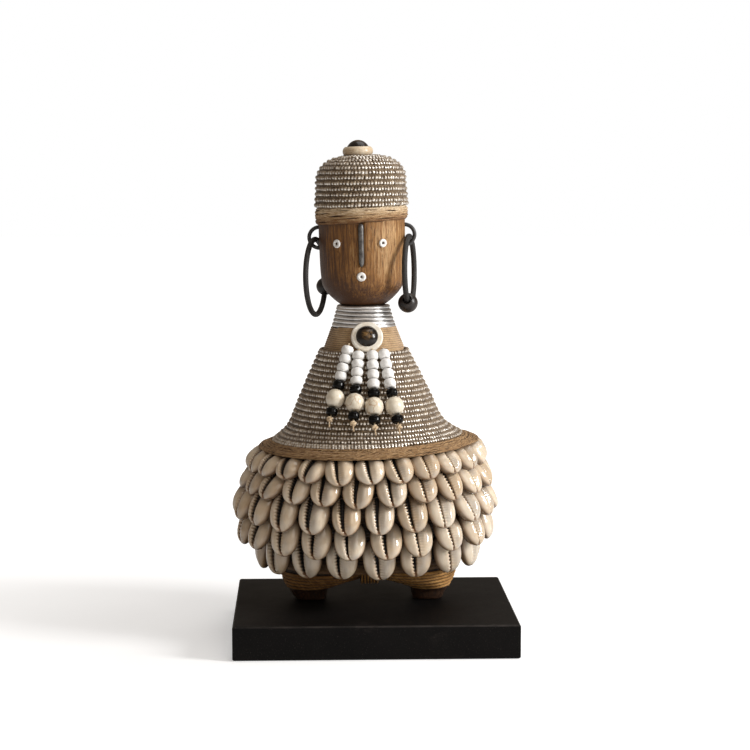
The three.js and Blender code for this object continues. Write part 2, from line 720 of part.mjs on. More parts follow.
function noseRod(spread, top) {
	const profile = [
		[0, NOSE_BOTTOM - spread],
		[0.35 * NOSE_RADIUS + spread, NOSE_BOTTOM + 0.2 - spread],
		[NOSE_RADIUS + spread, NOSE_BOTTOM + NOSE_POINT_LENGTH],
		[NOSE_RADIUS + spread, top],
		[0, top],
	];
	const place = nosePoint(0);
	return revolve(profile, 10).translate(place.x, place.y, 0);
}

const FACE_BEADS = {
	eye_left: { turn: FACE_TURN - EYE_SPREAD, height: EYE_HEIGHT, tube: EYE_BEAD_TUBE },
	eye_right: { turn: FACE_TURN + EYE_SPREAD, height: EYE_HEIGHT, tube: EYE_BEAD_TUBE },
	mouth: { turn: MOUTH_TURN, height: MOUTH_HEIGHT, tube: MOUTH_BEAD_TUBE },
};

function faceBeadPlace(bead) {
	const out = ahead(bead.turn);
	const radius = headRadiusAt(bead.height);
	return { out, surface: out.clone().multiplyScalar(radius).setZ(bead.height) };
}

function ringBead(bead) {
	const sides = 6;
	const profile = Array.from({ length: sides }, (_, i) => {
		const angle = (2 * Math.PI * (i + 0.5)) / sides;
		return [RING_BEAD_RADIUS + bead.tube * Math.cos(angle), bead.tube * Math.sin(angle)];
	});
	const { out, surface } = faceBeadPlace(bead);
	const turn = new THREE.Quaternion().setFromUnitVectors(vec(0, 0, 1), out);
	const place = surface.addScaledVector(out, bead.tube + SEAT_GAP * 0.8);
	return revolve(profile, 8, true).applyQuaternion(turn).translate(place.x, place.y, place.z);
}

function facePin(bead, spread, extraDepth) {
	const { out, surface } = faceBeadPlace(bead);
	const from = surface.clone().addScaledVector(out, -PIN_DEPTH - extraDepth);
	const to = surface.clone().addScaledVector(out, 2 * bead.tube);
	return rod(PIN_RADIUS + spread, from, to, 8);
}

function earPlace(ear) {
	const turn = Math.asin(ear.foreAft / HEAD_RADIUS);
	return vec(ear.side * HEAD_CHEEK_RADIUS * Math.cos(turn), ear.foreAft, HAT_BAND_BOTTOM - ear.drop);
}

// Where a hoop's plane crosses the loop: it clears the head's side
function hoopX(ear) {
	const clear = HEAD_RADIUS + HOOP_TUBE + HOOP_HEAD_GAP;
	const turn = rad(ear.hoopTurn);
	return (ear.side * clear + ear.foreAft * Math.sin(turn)) / Math.cos(turn);
}

// A loop is as wide as its hoop's top needs inside it
function earLoopRadius(ear) {
	const reach = Math.abs(hoopX(ear) - earPlace(ear).x);
	return Math.hypot(reach, EAR_LINK_DROP) + LINK_GAP + HOOP_TUBE + EAR_LOOP_TUBE;
}

// The loop is a half ring whose two legs run level into the head
function earLoopPoints(ear, extraDepth) {
	const centre = earPlace(ear);
	const points = [];
	const steps = 7;
	for (let i = 0; i <= steps; i++) {
		const angle = Math.PI / 2 - (Math.PI * i) / steps;
		const offset = vec(ear.side * Math.cos(angle), 0, Math.sin(angle)).multiplyScalar(earLoopRadius(ear));
		points.push(centre.clone().add(offset));
	}
	const inward = vec(-ear.side * (EAR_LOOP_DEPTH + extraDepth), 0, 0);
	return [points[0].clone().add(inward), ...points, points.at(-1).clone().add(inward)];
}

function earLoop(ear, spread, extraDepth) {
	const points = earLoopPoints(ear, extraDepth);
	return tube(points, guidedFrames(points, vec(0, 1, 0)), EAR_LOOP_TUBE + spread, 6);
}

function carvedFigure() {
	const joined = [revolve(headProfile(), HEAD_STEPS), skirtCore(), carvedLeg(-1), carvedLeg(1)];
	const cut = [noseRod(SEAT_GAP, HAT_BAND_BOTTOM + 3)];
	Object.values(FACE_BEADS).forEach((bead) => cut.push(facePin(bead, SEAT_GAP, SEAT_GAP)));
	Object.values(EARS).forEach((ear) => cut.push(earLoop(ear, SEAT_GAP, SEAT_GAP)));
	screwPlaces().forEach((place) => {
		const top = place.clone().setZ(BLOCK_HEIGHT + SCREW_GRIP + 1);
		cut.push(rod(SCREW_RADIUS + SEAT_GAP, place.clone().setZ(-1), top, 12).applyMatrix4(intoDoll));
	});
	const ground = new THREE.BoxGeometry(BLOCK_WIDTH, BLOCK_DEPTH, 20);
	ground.translate(0, 0, BLOCK_HEIGHT + SEAT_GAP - 10);
	cut.push(weld(ground).applyMatrix4(intoDoll));
	return combine(revolve(upperProfile(), TURN_STEPS), joined, cut);
}

// Display block and screws

function screwPlaces() {
	return [-1, 1].map((side) => vec(DOLL_X + side * FOOT_X, DOLL_Y + FOOT_Y, 0));
}

function displayBlock() {
	const [w, d] = [BLOCK_WIDTH / 2 - BLOCK_EDGE, BLOCK_DEPTH / 2 - BLOCK_EDGE];
	const outline = new THREE.Shape([[-w, -d], [w, -d], [w, d], [-w, d]].map(([x, y]) => new THREE.Vector2(x, y)));
	const block = new THREE.ExtrudeGeometry(outline, {
		depth: BLOCK_HEIGHT - 2 * BLOCK_EDGE,
		bevelThickness: BLOCK_EDGE,
		bevelSize: BLOCK_EDGE,
		bevelSegments: 1,
	});
	const holes = screwPlaces().map((place) => {
		const rim = SCREW_HEAD_RADIUS + SCREW_SINK + SEAT_GAP;
		const profile = [
			[0, -1],
			[rim, -1],
			[rim, SCREW_SINK],
			[SCREW_RADIUS + SEAT_GAP, SCREW_SINK + SCREW_HEAD_DEPTH + SEAT_GAP],
			[SCREW_RADIUS + SEAT_GAP, BLOCK_HEIGHT + 1],
			[0, BLOCK_HEIGHT + 1],
		];
		return revolve(profile, 12).translate(place.x, place.y, 0);
	});
	return combine(weld(block.translate(0, 0, BLOCK_EDGE)), [], holes);
}

function screw(place) {
	const profile = [
		[0, SCREW_SINK],
		[SCREW_HEAD_RADIUS, SCREW_SINK],
		[SCREW_RADIUS, SCREW_SINK + SCREW_HEAD_DEPTH],
		[SCREW_RADIUS, BLOCK_HEIGHT + SCREW_GRIP - 2.5],
		[0, BLOCK_HEIGHT + SCREW_GRIP],
	];
	const slot = new THREE.BoxGeometry(3 * SCREW_HEAD_RADIUS, SCREW_SLOT_WIDTH, 2 * SCREW_SLOT_DEPTH);
	slot.translate(0, 0, SCREW_SINK);
	return combine(revolve(profile, 12), [], [weld(slot)]).translate(place.x, place.y, 0);
}

// Bands, discs and domes

function hatBand() {
	const inner = HEAD_RADIUS + SEAT_GAP;
	const middle = (HAT_BAND_BOTTOM + HAT_BAND_TOP) / 2;
	return revolve([
		[inner, HAT_BAND_BOTTOM],
		[HAT_BAND_RADIUS - 0.5, HAT_BAND_BOTTOM],
		[HAT_BAND_RADIUS, middle],
		[HAT_BAND_RADIUS - 0.1, HAT_BAND_TOP],
		[inner, HAT_BAND_TOP],
	], HEAD_STEPS, true);
}

function hemBand() {
	const [coreRadius, coreHeight] = TORSO_BEADS.outline.core(TORSO_BEADS, 2).at(-1);
	const inner = (coreRadius + SEAT_GAP) / Math.cos(Math.PI / HEM_STEPS);
	const top = coreHeight - 0.2;
	const slope = (HEM_OUTER_HEIGHT - top) / (HEM_OUTER_RADIUS - inner);
	const drop = HEM_THICKNESS / Math.cos(Math.atan(slope));
	return revolve([
		[inner, top],
		[HEM_OUTER_RADIUS - 0.5, HEM_OUTER_HEIGHT + 0.3],
		[HEM_OUTER_RADIUS, HEM_OUTER_HEIGHT - 0.5],
		[HEM_OUTER_RADIUS - 0.5, HEM_OUTER_HEIGHT + 0.3 - drop],
		[inner, top - drop],
	], HEM_STEPS, true);
}

function disc(radius, thickness) {
	return revolve([
		[0, 0],
		[radius - 0.5, 0],
		[radius, 0.3 * thickness],
		[radius, 0.7 * thickness],
		[radius - 0.6, thickness],
		[0, thickness],
	], 18);
}

function dome(radius, height) {
	const rings = 4;
	const ball = (radius ** 2 + height ** 2) / (2 * height);
	const open = Math.asin(Math.min(1, radius / ball));
	const profile = [[0, 0]];
	for (let i = 0; i < rings; i++) {
		const angle = open * (1 - i / rings);
		profile.push([ball * Math.sin(angle), height - ball * (1 - Math.cos(angle))]);
	}
	profile.push([0, height]);
	return revolve(profile, 16);
}

// The brooch lies on the wire above and on the first bead row below
function broochPlane() {
	const high = vec(0, -NECK_TWINE_TOP_RADIUS, NECK_TWINE_TOP_HEIGHT + NECK_WIRE_DIAMETER);
	const low = vec(0, -TORSO_BEADS.outline.at(TORSO_BEAD_DIAMETER / 2).r, TORSO_TOP_HEIGHT - TORSO_BEAD_DIAMETER / 4);
	const along = low.clone().sub(high).normalize();
	const out = vec(0, along.z, -along.y).normalize();
	const share = (high.z - BROOCH_HEIGHT) / (high.z - low.z);
	const centre = high.clone().lerp(low, share).addScaledVector(out, SEAT_GAP);
	return { centre: centre.setX(BROOCH_X), out };
}

function placeBrooch(geometry, lift) {
	const { centre, out } = broochPlane();
	const turn = new THREE.Quaternion().setFromUnitVectors(vec(0, 0, 1), out);
	const place = centre.clone().addScaledVector(out, lift);
	return geometry.applyQuaternion(turn).translate(place.x, place.y, place.z);
}

// Depth of the leg ropes' surface at a distance from the doll's middle
function legDepthAt(x, z) {
	const section = legSection(z);
	return section.halfDepth * Math.sqrt(1 - ((section.x - x) / section.halfWidth) ** 2);
}

// Lashing: a strap of parallel cords under the arch, up the front and up the back
function lashing() {
	const under = ARCH_HEIGHT - 1.2;
	const halfDepth = legDepthAt(LASHING_HALF_WIDTH, LASHING_TOP) + LASHING_GAP;
	const line = [
		[-halfDepth, LASHING_TOP],
		[-halfDepth + 0.4, under + 2.4],
		[-halfDepth + 5, under],
		[halfDepth - 5, under],
		[halfDepth - 0.4, under + 2.4],
		[halfDepth, LASHING_TOP],
	];
	const normals = line.map((_, k) => {
		const [a, b] = [line[Math.max(k - 1, 0)], line[Math.min(k + 1, line.length - 1)]];
		return new THREE.Vector2(b[1] - a[1], a[0] - b[0]).normalize();
	});
	const width = (2 * LASHING_HALF_WIDTH) / LASHING_CORDS;
	const rings = line.map(([y, z], k) => {
		const point = (x, depth) => vec(x, y + normals[k].x * depth, z + normals[k].y * depth);
		const ridge = [];
		for (let i = 0; i < LASHING_CORDS; i++) {
			const x = -LASHING_HALF_WIDTH + width * i;
			ridge.push(point(x, 0.45 * LASHING_THICKNESS), point(x + width / 2, LASHING_THICKNESS));
		}
		ridge.push(point(LASHING_HALF_WIDTH, 0.45 * LASHING_THICKNESS));
		return [point(-LASHING_HALF_WIDTH, 0), ...ridge, point(LASHING_HALF_WIDTH, 0)];
	});
	return ridgedSkin(rings);
}

// Closes a run of ridged sections; each end is fanned from the middle of its flat side
function ridgedSkin(rings) {
	const middle = (ring) => [ring[0].clone().lerp(ring.at(-1), 0.5)];
	return skin([middle(rings[0]), ...rings, middle(rings.at(-1))]);
}

// Cowries

// Points at equal distances round an ellipse, starting at the front
function ellipsePlaces(radiusX, radiusY, count, phase) {
	const fine = 1440;
	const point = (angle) => vec(radiusX * Math.sin(angle), -radiusY * Math.cos(angle), 0);
	const lengths = [0];
	for (let i = 1; i <= fine; i++) {
		const step = point((2 * Math.PI * i) / fine).distanceTo(point((2 * Math.PI * (i - 1)) / fine));
		lengths.push(lengths[i - 1] + step);
	}
	const total = lengths[fine];
	return Array.from({ length: count }, (_, i) => {
		const target = (((i + phase) / count + 1) % 1) * total;
		const after = lengths.findIndex((length) => length >= target);
		const angle = (2 * Math.PI * after) / fine;
		const out = vec(Math.sin(angle) / radiusX, -Math.cos(angle) / radiusY, 0).normalize();
		return { point: point(angle), out };
	});
}

// Thickness of a shell where it has a given share of its full width
function shellDepth(thickness, spread) {
	return thickness * (0.35 + 0.65 * spread);
}

// A shell lies along Z with its slit towards +Y
function cowrieShell([width, length, thickness]) {
	const rings = SHELL_SECTIONS.map(({ share, spread }) => {
		const [w, t] = [width * spread, shellDepth(thickness, spread)];
		const slit = 0.05 - 0.12 * share;
		const outline = [
			[slit + 0.02, 0.16],
			[slit - 0.1, 0.5],
			[-0.5, 0.05],
			[0, -0.5],
			[0.5, 0.05],
			[slit + 0.16, 0.5],
		];
		return outline.map(([across, out]) => vec(across * w, out * t, share * length));
	});
	return skin([[vec(0, 0, length / 2)], ...rings, [vec(0, 0, -length / 2)]]);
}

function cowrieRow({ count, radius, squash, rise, tilt, size, phase }) {
	const height = SKIRT_BOTTOM + rise;
	const lean = rad(tilt);
	const shells = ellipsePlaces(radius, radius * squash, count, phase).map(({ point, out }) => {
		const up = vec(0, 0, Math.cos(lean)).addScaledVector(out, -Math.sin(lean));
		const slitSide = vec(0, 0, Math.sin(lean)).addScaledVector(out, Math.cos(lean));
		const across = slitSide.clone().cross(up);
		const place = new THREE.Matrix4().makeBasis(across, slitSide, up).setPosition(point.x, point.y, height);
		return cowrieShell(size).applyMatrix4(place);
	});
	const behind = ROW_CORD_BEHIND * size[2];
	const up = ROW_CORD_ABOVE * size[1];
	const inset = behind * Math.cos(lean) + up * Math.sin(lean);
	const places = ellipsePlaces(radius - inset, radius * squash - inset, count, phase);
	const cord = places.map(({ point }) => point.setZ(height + up * Math.cos(lean) - behind * Math.sin(lean)));
	const frames = places.map(({ out }) => [out, vec(0, 0, 1)]);
	return combine(tube(cord, frames, ROW_CORD_RADIUS, 3, true), shells);
}

// Hoops and their beads

// Where a hoop hangs: its swing axis is on the lower leg of the ear loop
function hoopPlace(ear) {
	const centre = earPlace(ear);
	const turn = rad(ear.hoopTurn);
	const rear = vec(Math.sin(turn), Math.cos(turn), 0);
	const normal = vec(Math.cos(turn), -Math.sin(turn), 0);
	const x = hoopX(ear);
	const reach = Math.abs(x - centre.x);
	const barDrop = Math.sqrt(earLoopRadius(ear) ** 2 - reach ** 2);
	const swing = vec(x, ear.foreAft, centre.z - barDrop);
	const middle = swing.clone().setZ(centre.z - EAR_LINK_DROP - ear.hoopRadius);
	return { swing, middle, rear, normal };
}

function hoop(ear) {
	const { middle, rear, normal } = hoopPlace(ear);
	const steps = 22;
	const points = [];
	const frames = [];
	for (let i = 0; i < steps; i++) {
		const angle = (2 * Math.PI * i) / steps;
		const spoke = rear.clone().multiplyScalar(Math.sin(angle)).setZ(-Math.cos(angle));
		points.push(middle.clone().addScaledVector(spoke, ear.hoopRadius));
		frames.push([spoke, normal]);
	}
	return tube(points, frames, HOOP_TUBE, 6, true);
}

// A bead's place on its hoop, as degrees from the lowest point towards the rear
function beadPlace(ear, turn) {
	const { middle, rear } = hoopPlace(ear);
	const spoke = rear.clone().multiplyScalar(Math.sin(rad(turn))).setZ(-Math.cos(rad(turn)));
	const along = rear.clone().multiplyScalar(Math.cos(rad(turn))).setZ(Math.sin(rad(turn)));
	return { point: middle.clone().addScaledVector(spoke, ear.hoopRadius), along };
}

function roundBead(radius, bore, segments, rings) {
	const open = Math.asin(bore / radius);
	const profile = Array.from({ length: rings }, (_, i) => {
		const angle = open + ((Math.PI - 2 * open) * i) / (rings - 1);
		return [radius * Math.sin(angle), radius * Math.cos(angle)];
	});
	return revolve(profile, segments, true);
}

function hoopBead(ear) {
	const { point, along } = beadPlace(ear, ear.beadTurn);
	const bend = ear.beadRadius ** 2 / (2 * ear.hoopRadius);
	const turn = new THREE.Quaternion().setFromUnitVectors(vec(0, 0, 1), along);
	return roundBead(ear.beadRadius, HOOP_TUBE + bend + BORE_GAP, 12, 7)
		.applyQuaternion(turn)
		.translate(point.x, point.y, point.z);
}

// Strands

// Points of a strand: it hangs straight, resting on the torso beads by its howlite bead
function strandLine(strand) {
	const { outline } = TORSO_BEADS;
	const onTorso = ([x, rise], thickness) => {
		const z = TORSO_TOP_HEIGHT + rise;
		const slope = outline.at(outline.length / 3).along;
		const radius = outline.radiusAt(Math.min(z, TORSO_TOP_HEIGHT)) + thickness / Math.abs(slope.y);
		return vec(x, -Math.sqrt(radius ** 2 - x ** 2), z);
	};
	const first = onTorso(strand.first, WHITE_BEAD_RADIUS + SEAT_GAP);
	const howlite = onTorso(strand.howlite, HOWLITE_RADIUS + SEAT_GAP);
	const down = howlite.clone().sub(first).normalize();
	return { first, down };
}

// Distances of the beads' middles and ends from the middle of the first bead
function strandStops({ beadHeight }) {
	const whiteEnd = (WHITE_BEADS - 0.5) * beadHeight;
	const upperBlack = whiteEnd + SEAT_GAP + BLACK_BEAD_HEIGHT / 2;
	const howlite = upperBlack + BLACK_BEAD_HEIGHT / 2 + SEAT_GAP + HOWLITE_RADIUS;
	const lowerBlack = howlite + HOWLITE_RADIUS + SEAT_GAP + BLACK_BEAD_HEIGHT / 2;
	const knot = lowerBlack + BLACK_BEAD_HEIGHT / 2 + SEAT_GAP + KNOT_RADIUS;
	return { start: -beadHeight / 2, upperBlack, howlite, lowerBlack, knot };
}

function whiteStack({ beadHeight }) {
	const bore = THREAD_RADIUS + BORE_GAP;
	const profile = [[bore, -beadHeight / 2]];
	for (let i = 0; i < WHITE_BEADS; i++) {
		const z = beadHeight * i;
		profile.push([0.68 * WHITE_BEAD_RADIUS, z - beadHeight / 2]);
		profile.push([WHITE_BEAD_RADIUS, z]);
	}
	const end = (WHITE_BEADS - 0.5) * beadHeight;
	profile.push([0.68 * WHITE_BEAD_RADIUS, end], [bore, end]);
	return revolve(profile, 8, true);
}

function blackBead() {
	const bore = THREAD_RADIUS + BORE_GAP;
	const half = BLACK_BEAD_HEIGHT / 2;
	return revolve([
		[bore, -half],
		[0.66 * BLACK_BEAD_RADIUS, -half],
		[BLACK_BEAD_RADIUS, 0],
		[0.66 * BLACK_BEAD_RADIUS, half],
		[bore, half],
	], 8, true);
}

function strandThread(strand) {
	const { first, down } = strandLine(strand);
	const stops = strandStops(strand);
	const at = (distance) => first.clone().addScaledVector(down, distance);
	const thread = rod(THREAD_RADIUS, at(stops.start - THREAD_LEAD), at(stops.knot + TAIL_LENGTH), 6);
	const knotPlace = at(stops.knot);
	const knot = sphere(KNOT_RADIUS, 6, 4).translate(knotPlace.x, knotPlace.y, knotPlace.z);
	return combine(thread, [knot]);
}

function onStrand(strand, geometry, distance) {
	const { first, down } = strandLine(strand);
	const turn = new THREE.Quaternion().setFromUnitVectors(vec(0, 0, 1), down);
	const place = first.clone().addScaledVector(down, distance);
	return geometry.applyQuaternion(turn).translate(place.x, place.y, place.z);
}

// Assembly

addPiece(model, 'base_block', displayBlock(), BLACK_PAINT);
screwPlaces().forEach((place, i) => {
	addPiece(model, `base_screw_${['left', 'right'][i]}`, screw(place), STEEL);
});

addPiece(doll, 'carved_figure', carvedFigure(), CARVED_WOOD);
addPiece(doll, 'leg_rope_left', windLeg('leg_rope_left', -1), ROPE);
addPiece(doll, 'leg_rope_right', windLeg('leg_rope_right', 1), ROPE);
addPiece(doll, 'leg_lashing', lashing(), ROPE);
addPiece(doll, 'skirt_twine_wrap', skirtWrap(), DARK_TWINE);
COWRIE_ROWS.forEach((row, i) => addPiece(doll, `cowrie_row_${i + 1}`, cowrieRow(row), COWRIE));
addPiece(doll, 'hem_raffia_band', hemBand(), RAFFIA);
addPiece(doll, 'torso_bead_spiral', windRound('torso_bead_spiral', TORSO_BEADS), SEED_BEADS);
addPiece(doll, 'neck_twine_wrap', windRound('neck_twine_wrap', NECK_TWINE), TWINE);
addPiece(doll, 'neck_wire_coil', windRound('neck_wire_coil', NECK_WIRE), BRIGHT_WIRE);
addPiece(doll, 'hat_raffia_band', hatBand(), RAFFIA);
addPiece(doll, 'hat_bead_spiral', windRound('hat_bead_spiral', HAT_BEADS), SEED_BEADS);
addPiece(doll, 'hat_disc', disc(HAT_DISC_RADIUS, HAT_DISC_THICKNESS).translate(HAT_DISC_X, 0, HAT_TOP_HEIGHT), BONE);
addPiece(doll, 'hat_dome', dome(HAT_DOME_RADIUS, HAT_DOME_HEIGHT)
	.translate(HAT_DISC_X, 0, HAT_TOP_HEIGHT + HAT_DISC_THICKNESS + SEAT_GAP), DARK_GLASS);

addPiece(doll, 'nose_rod', noseRod(0, HAT_BAND_BOTTOM - SEAT_GAP), DARK_IRON);
Object.entries(FACE_BEADS).forEach(([name, bead]) => {
	addPiece(doll, `${name}_bead`, ringBead(bead), WHITE_BEAD);
	addPiece(doll, `${name}_pin`, facePin(bead, 0, 0), BROWN_PIN);
});
Object.entries(EARS).forEach(([name, ear]) => {
	addPiece(doll, `ear_loop_${name}`, earLoop(ear, 0, 0), DARK_IRON);
	addPiece(doll, `hoop_${name}`, hoop(ear), BLACK_RUBBER);
	addPiece(doll, `hoop_bead_${name}`, hoopBead(ear), DARK_GLASS);
});

addPiece(doll, 'brooch_disc', placeBrooch(disc(BROOCH_DISC_RADIUS, BROOCH_DISC_THICKNESS), 0), BONE);
addPiece(doll, 'brooch_dome', placeBrooch(dome(BROOCH_DOME_RADIUS, BROOCH_DOME_HEIGHT),
	BROOCH_DISC_THICKNESS + SEAT_GAP), DARK_GLASS);

STRANDS.forEach((strand, i) => {
	const stops = strandStops(strand);
	const bore = THREAD_RADIUS + BORE_GAP;
	addPiece(doll, `strand_thread_${i + 1}`, strandThread(strand), TWINE);
	addPiece(doll, `white_beads_${i + 1}`, onStrand(strand, whiteStack(strand), 0), WHITE_BEAD);
	addPiece(doll, `black_bead_upper_${i + 1}`, onStrand(strand, blackBead(), stops.upperBlack), BLACK_GLASS);
	addPiece(doll, `howlite_bead_${i + 1}`,
		onStrand(strand, roundBead(HOWLITE_RADIUS, bore, 10, 6), stops.howlite), HOWLITE);
	addPiece(doll, `black_bead_lower_${i + 1}`, onStrand(strand, blackBead(), stops.lowerBlack), BLACK_GLASS);
});

export default model;
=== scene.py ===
import math

import bpy
import numpy as np
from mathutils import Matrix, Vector


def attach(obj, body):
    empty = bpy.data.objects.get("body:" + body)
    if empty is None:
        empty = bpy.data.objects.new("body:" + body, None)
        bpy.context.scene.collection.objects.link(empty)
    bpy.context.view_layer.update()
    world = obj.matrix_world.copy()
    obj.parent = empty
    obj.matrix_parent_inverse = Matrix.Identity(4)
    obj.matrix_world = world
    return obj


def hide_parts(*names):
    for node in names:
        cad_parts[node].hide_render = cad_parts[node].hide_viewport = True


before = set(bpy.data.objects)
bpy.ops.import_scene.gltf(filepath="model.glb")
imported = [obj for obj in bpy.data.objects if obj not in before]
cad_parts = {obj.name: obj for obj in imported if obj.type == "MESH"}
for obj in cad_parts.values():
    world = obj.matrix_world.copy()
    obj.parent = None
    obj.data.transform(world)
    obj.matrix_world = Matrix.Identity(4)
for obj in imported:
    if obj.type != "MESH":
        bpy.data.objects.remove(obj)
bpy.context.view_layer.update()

# The doll's own frame is in millimetres: its axis is Z, its soles are at 0 and it faces -Y.
LEAN = math.radians(1.1)
STAND = np.array([-1.8, 8.0, 18.0])
RNG = np.random.default_rng(7)
ROOT = "doll_on_block"
UP = np.array([0, 0, 1.0])

# The wound and sewn pieces lie a little askew: slopes to the right at hem and hat, a rise at the skirt's
# sides and a hem that reaches further out on the right
HEM_TILT, HAT_TILT, SIDE_RISE, SKIRT_REACH = 0.016, 0.014, 2.3, 65.0
HEM_REACH, HEM_RADIUS = 2.3, 52


def share_up(z, low, high):
    return np.clip((z - low) / (high - low), 0, 1)


def to_row(points):
    """Doll frame in millimetres to row frame in metres."""
    p = np.array(points, float)
    x, z = p[..., 0], p[..., 2]
    skirt = share_up(z, 20, 32) * (1 - share_up(z, 82, 89))
    hem = share_up(z, 60, 84) * (1 - share_up(z, 88, 106))
    tilt = HEM_TILT * hem + HAT_TILT * share_up(z, 206, 209)
    p[..., 2] = z + SIDE_RISE * (x / SKIRT_REACH) ** 2 * skirt + x * tilt
    flare = share_up(z, 84.5, 88) * (1 - share_up(z, 92, 103))
    p[..., 0] = x + HEM_REACH * (np.maximum(x, 0) / HEM_RADIUS) ** 2 * flare
    c, s = math.cos(LEAN), math.sin(LEAN)
    turned = np.stack([p[..., 0] * c - p[..., 2] * s, p[..., 1], p[..., 0] * s + p[..., 2] * c], -1)
    return (turned + STAND) * 0.001


# Camera
CAMERA_PLACE = (-0.0368, -1.0505, 0.255)
CAMERA_LENS = 93.6
YAW, PITCH = math.radians(2.07), math.radians(6.11)
camera = bpy.data.objects.new("camera", bpy.data.cameras.new("camera"))
bpy.context.scene.collection.objects.link(camera)
bpy.context.scene.camera = camera
camera.data.sensor_width = 36
camera.data.lens = CAMERA_LENS
camera.data.clip_start = 0.05
camera.data.clip_end = 20
camera.location = CAMERA_PLACE
aim = Vector((math.sin(YAW) * math.cos(PITCH), math.cos(YAW) * math.cos(PITCH), -math.sin(PITCH)))
camera.rotation_euler = aim.to_track_quat("-Z", "Y").to_euler()


# Node helpers
class Value:
    """A node's output; sums, differences and products of values are Math nodes."""

    def __init__(self, nodes, socket):
        self.nodes, self.socket = nodes, socket

    def __add__(self, other):
        return self.nodes.math("ADD", self, other)

    def __sub__(self, other):
        return self.nodes.math("SUBTRACT", self, other)

    def __rsub__(self, other):
        return self.nodes.math("SUBTRACT", other, self)

    def __mul__(self, other):
        return self.nodes.math("MULTIPLY", self, other)


class Nodes:
    """The node tree of a material or world, filled from nothing."""

    def __init__(self, owner):
        owner.use_nodes = True
        self.tree = owner.node_tree
        self.tree.nodes.clear()

    def node(self, kind, out=0, props=None, **inputs):
        """Inputs are given by name, or as i0, i1 and so on by number; out may list several outputs."""
        n = self.tree.nodes.new("ShaderNode" + kind)
        for k, v in (props or {}).items():
            setattr(n, k, v)
        for k, v in inputs.items():
            self.put(n.inputs[int(k[1:]) if k[1:].isdigit() else k.replace("_", " ")], v)
        values = [Value(self, n.outputs[o]) for o in (out if isinstance(out, tuple) else (out,))]
        return values if isinstance(out, tuple) else values[0]

    def put(self, socket, value):
        if isinstance(value, Value):
            self.tree.links.new(value.socket, socket)
        elif isinstance(value, tuple) and len(value) == 3 and socket.type == "RGBA":
            socket.default_value = (*value, 1)
        else:
            socket.default_value = value

    def end(self, kind, shader):
        self.put(self.tree.nodes.new("ShaderNode" + kind).inputs[0], shader)

    def stretched(self, vector, x, y, z):
        return self.node("Mapping", Vector=vector, Scale=(x, y, z))

    def coords(self, x, y=None, z=None):
        return self.stretched(self.node("TexCoord", out=3), x, x if y is None else y, x if z is None else z)

    def attribute(self, name, out=2):
        return self.node("Attribute", out=out, props={"attribute_name": name})

    def lay(self, x, y, z):
        """Place along and round a cord or band."""
        return self.stretched(self.attribute("lay", out=1), x, y, z)

    def noise(self, vector, scale=1.0, detail=4.0, rough=0.55, distortion=0.0):
        return self.node("TexNoise", Vector=vector, Scale=scale, Detail=detail, Roughness=rough,
                         Distortion=distortion)

    def ramp(self, fac, *stops):
        n = self.tree.nodes.new("ShaderNodeValToRGB")
        self.put(n.inputs[0], fac)
        elements = n.color_ramp.elements
        while len(elements) < len(stops):
            elements.new(0.5)
        for e, (place, colour) in zip(elements, stops):
            e.position = place
            e.color = (*colour, 1) if isinstance(colour, tuple) else (colour, colour, colour, 1)
        return Value(self, n.outputs[0])

    def share(self, fac, low, high, top=1.0):
        """From 0 at low to top at high."""
        return self.ramp(fac, (low, 0.0), (high, top))

    def fall(self, fac, low, high):
        """From 1 at low to 0 at high."""
        return self.ramp(fac, (low, 1.0), (high, 0.0))

    def mix(self, fac, a, b):
        return self.node("Mix", out=2, props={"data_type": "RGBA"}, i0=fac, i6=a, i7=b)

    def math(self, op, a, b=0.0):
        return self.node("Math", props={"operation": op}, i0=a, i1=b)

    def bump(self, height, strength, distance):
        return self.node("Bump", Height=height, Strength=strength, Distance=distance)


class Material(Nodes):
    def __init__(self, name):
        self.mat = bpy.data.materials.new(name)
        super().__init__(self.mat)

    def finish(self, colour, roughness, normal=None, specular=0.5, **sockets):
        if normal is not None:
            sockets["Normal"] = normal
        shader = self.node("BsdfPrincipled", Base_Color=colour, Roughness=roughness,
                           Specular_IOR_Level=specular, **sockets)
        self.end("OutputMaterial", shader)
        return self.mat


def scaled(colour, share):
    return tuple(v * share for v in colour)


# Materials; scales given to coords are per metre, bump depths are in metres
def wood_material(name, dark, mid, light, gloss):
    """Vertical grain; the tint attribute makes places lighter or darker."""
    m = Material(name)
    grain = m.noise(m.coords(900, 900, 55), detail=7, rough=0.68)
    broad = m.noise(m.coords(70, 70, 26), rough=0.6)
    pore = m.share(m.noise(m.coords(2300, 2300, 210), detail=3, rough=0.7), 0.53, 0.61)
    mixed = grain * 0.74 + broad * 0.26 + m.attribute("tint") * 0.14
    colour = m.mix(pore * 0.72, m.ramp(mixed, (0.35, dark), (0.5, mid), (0.66, light)), dark)
    return m.finish(colour, grain * 0.22 + gloss, m.bump(grain - pore * 0.6, 0.6, 0.0003), specular=0.42)


def fibre_material(name, dark, mid, light, stretch=0.25, fuzz=0.35, sunk=0.3):
    """Twisted fibre: the lay attribute runs with the cord, the rim attribute is 1 between two turns, where
    painted shade darkens the colour.
    """
    m = Material(name)
    strands = m.noise(m.lay(3.0, 3.0, stretch), scale=1.6, detail=5, rough=0.65)
    patches = m.noise(m.coords(210), detail=3)
    mixed = strands * 0.66 + patches * 0.34 + m.attribute("tint") * 0.10
    colour = m.ramp(mixed, (0.36, dark), (0.52, mid), (0.70, light))
    # Painted shade between turns, from the rim attribute
    colour = m.mix(m.share(m.attribute("rim"), 0.06, 0.30, 0.95), colour, scaled(dark, sunk))
    return m.finish(colour, 0.82, m.bump(strands, 0.8, 0.00018), specular=0.18, Sheen_Weight=fuzz,
                    Sheen_Roughness=0.5)


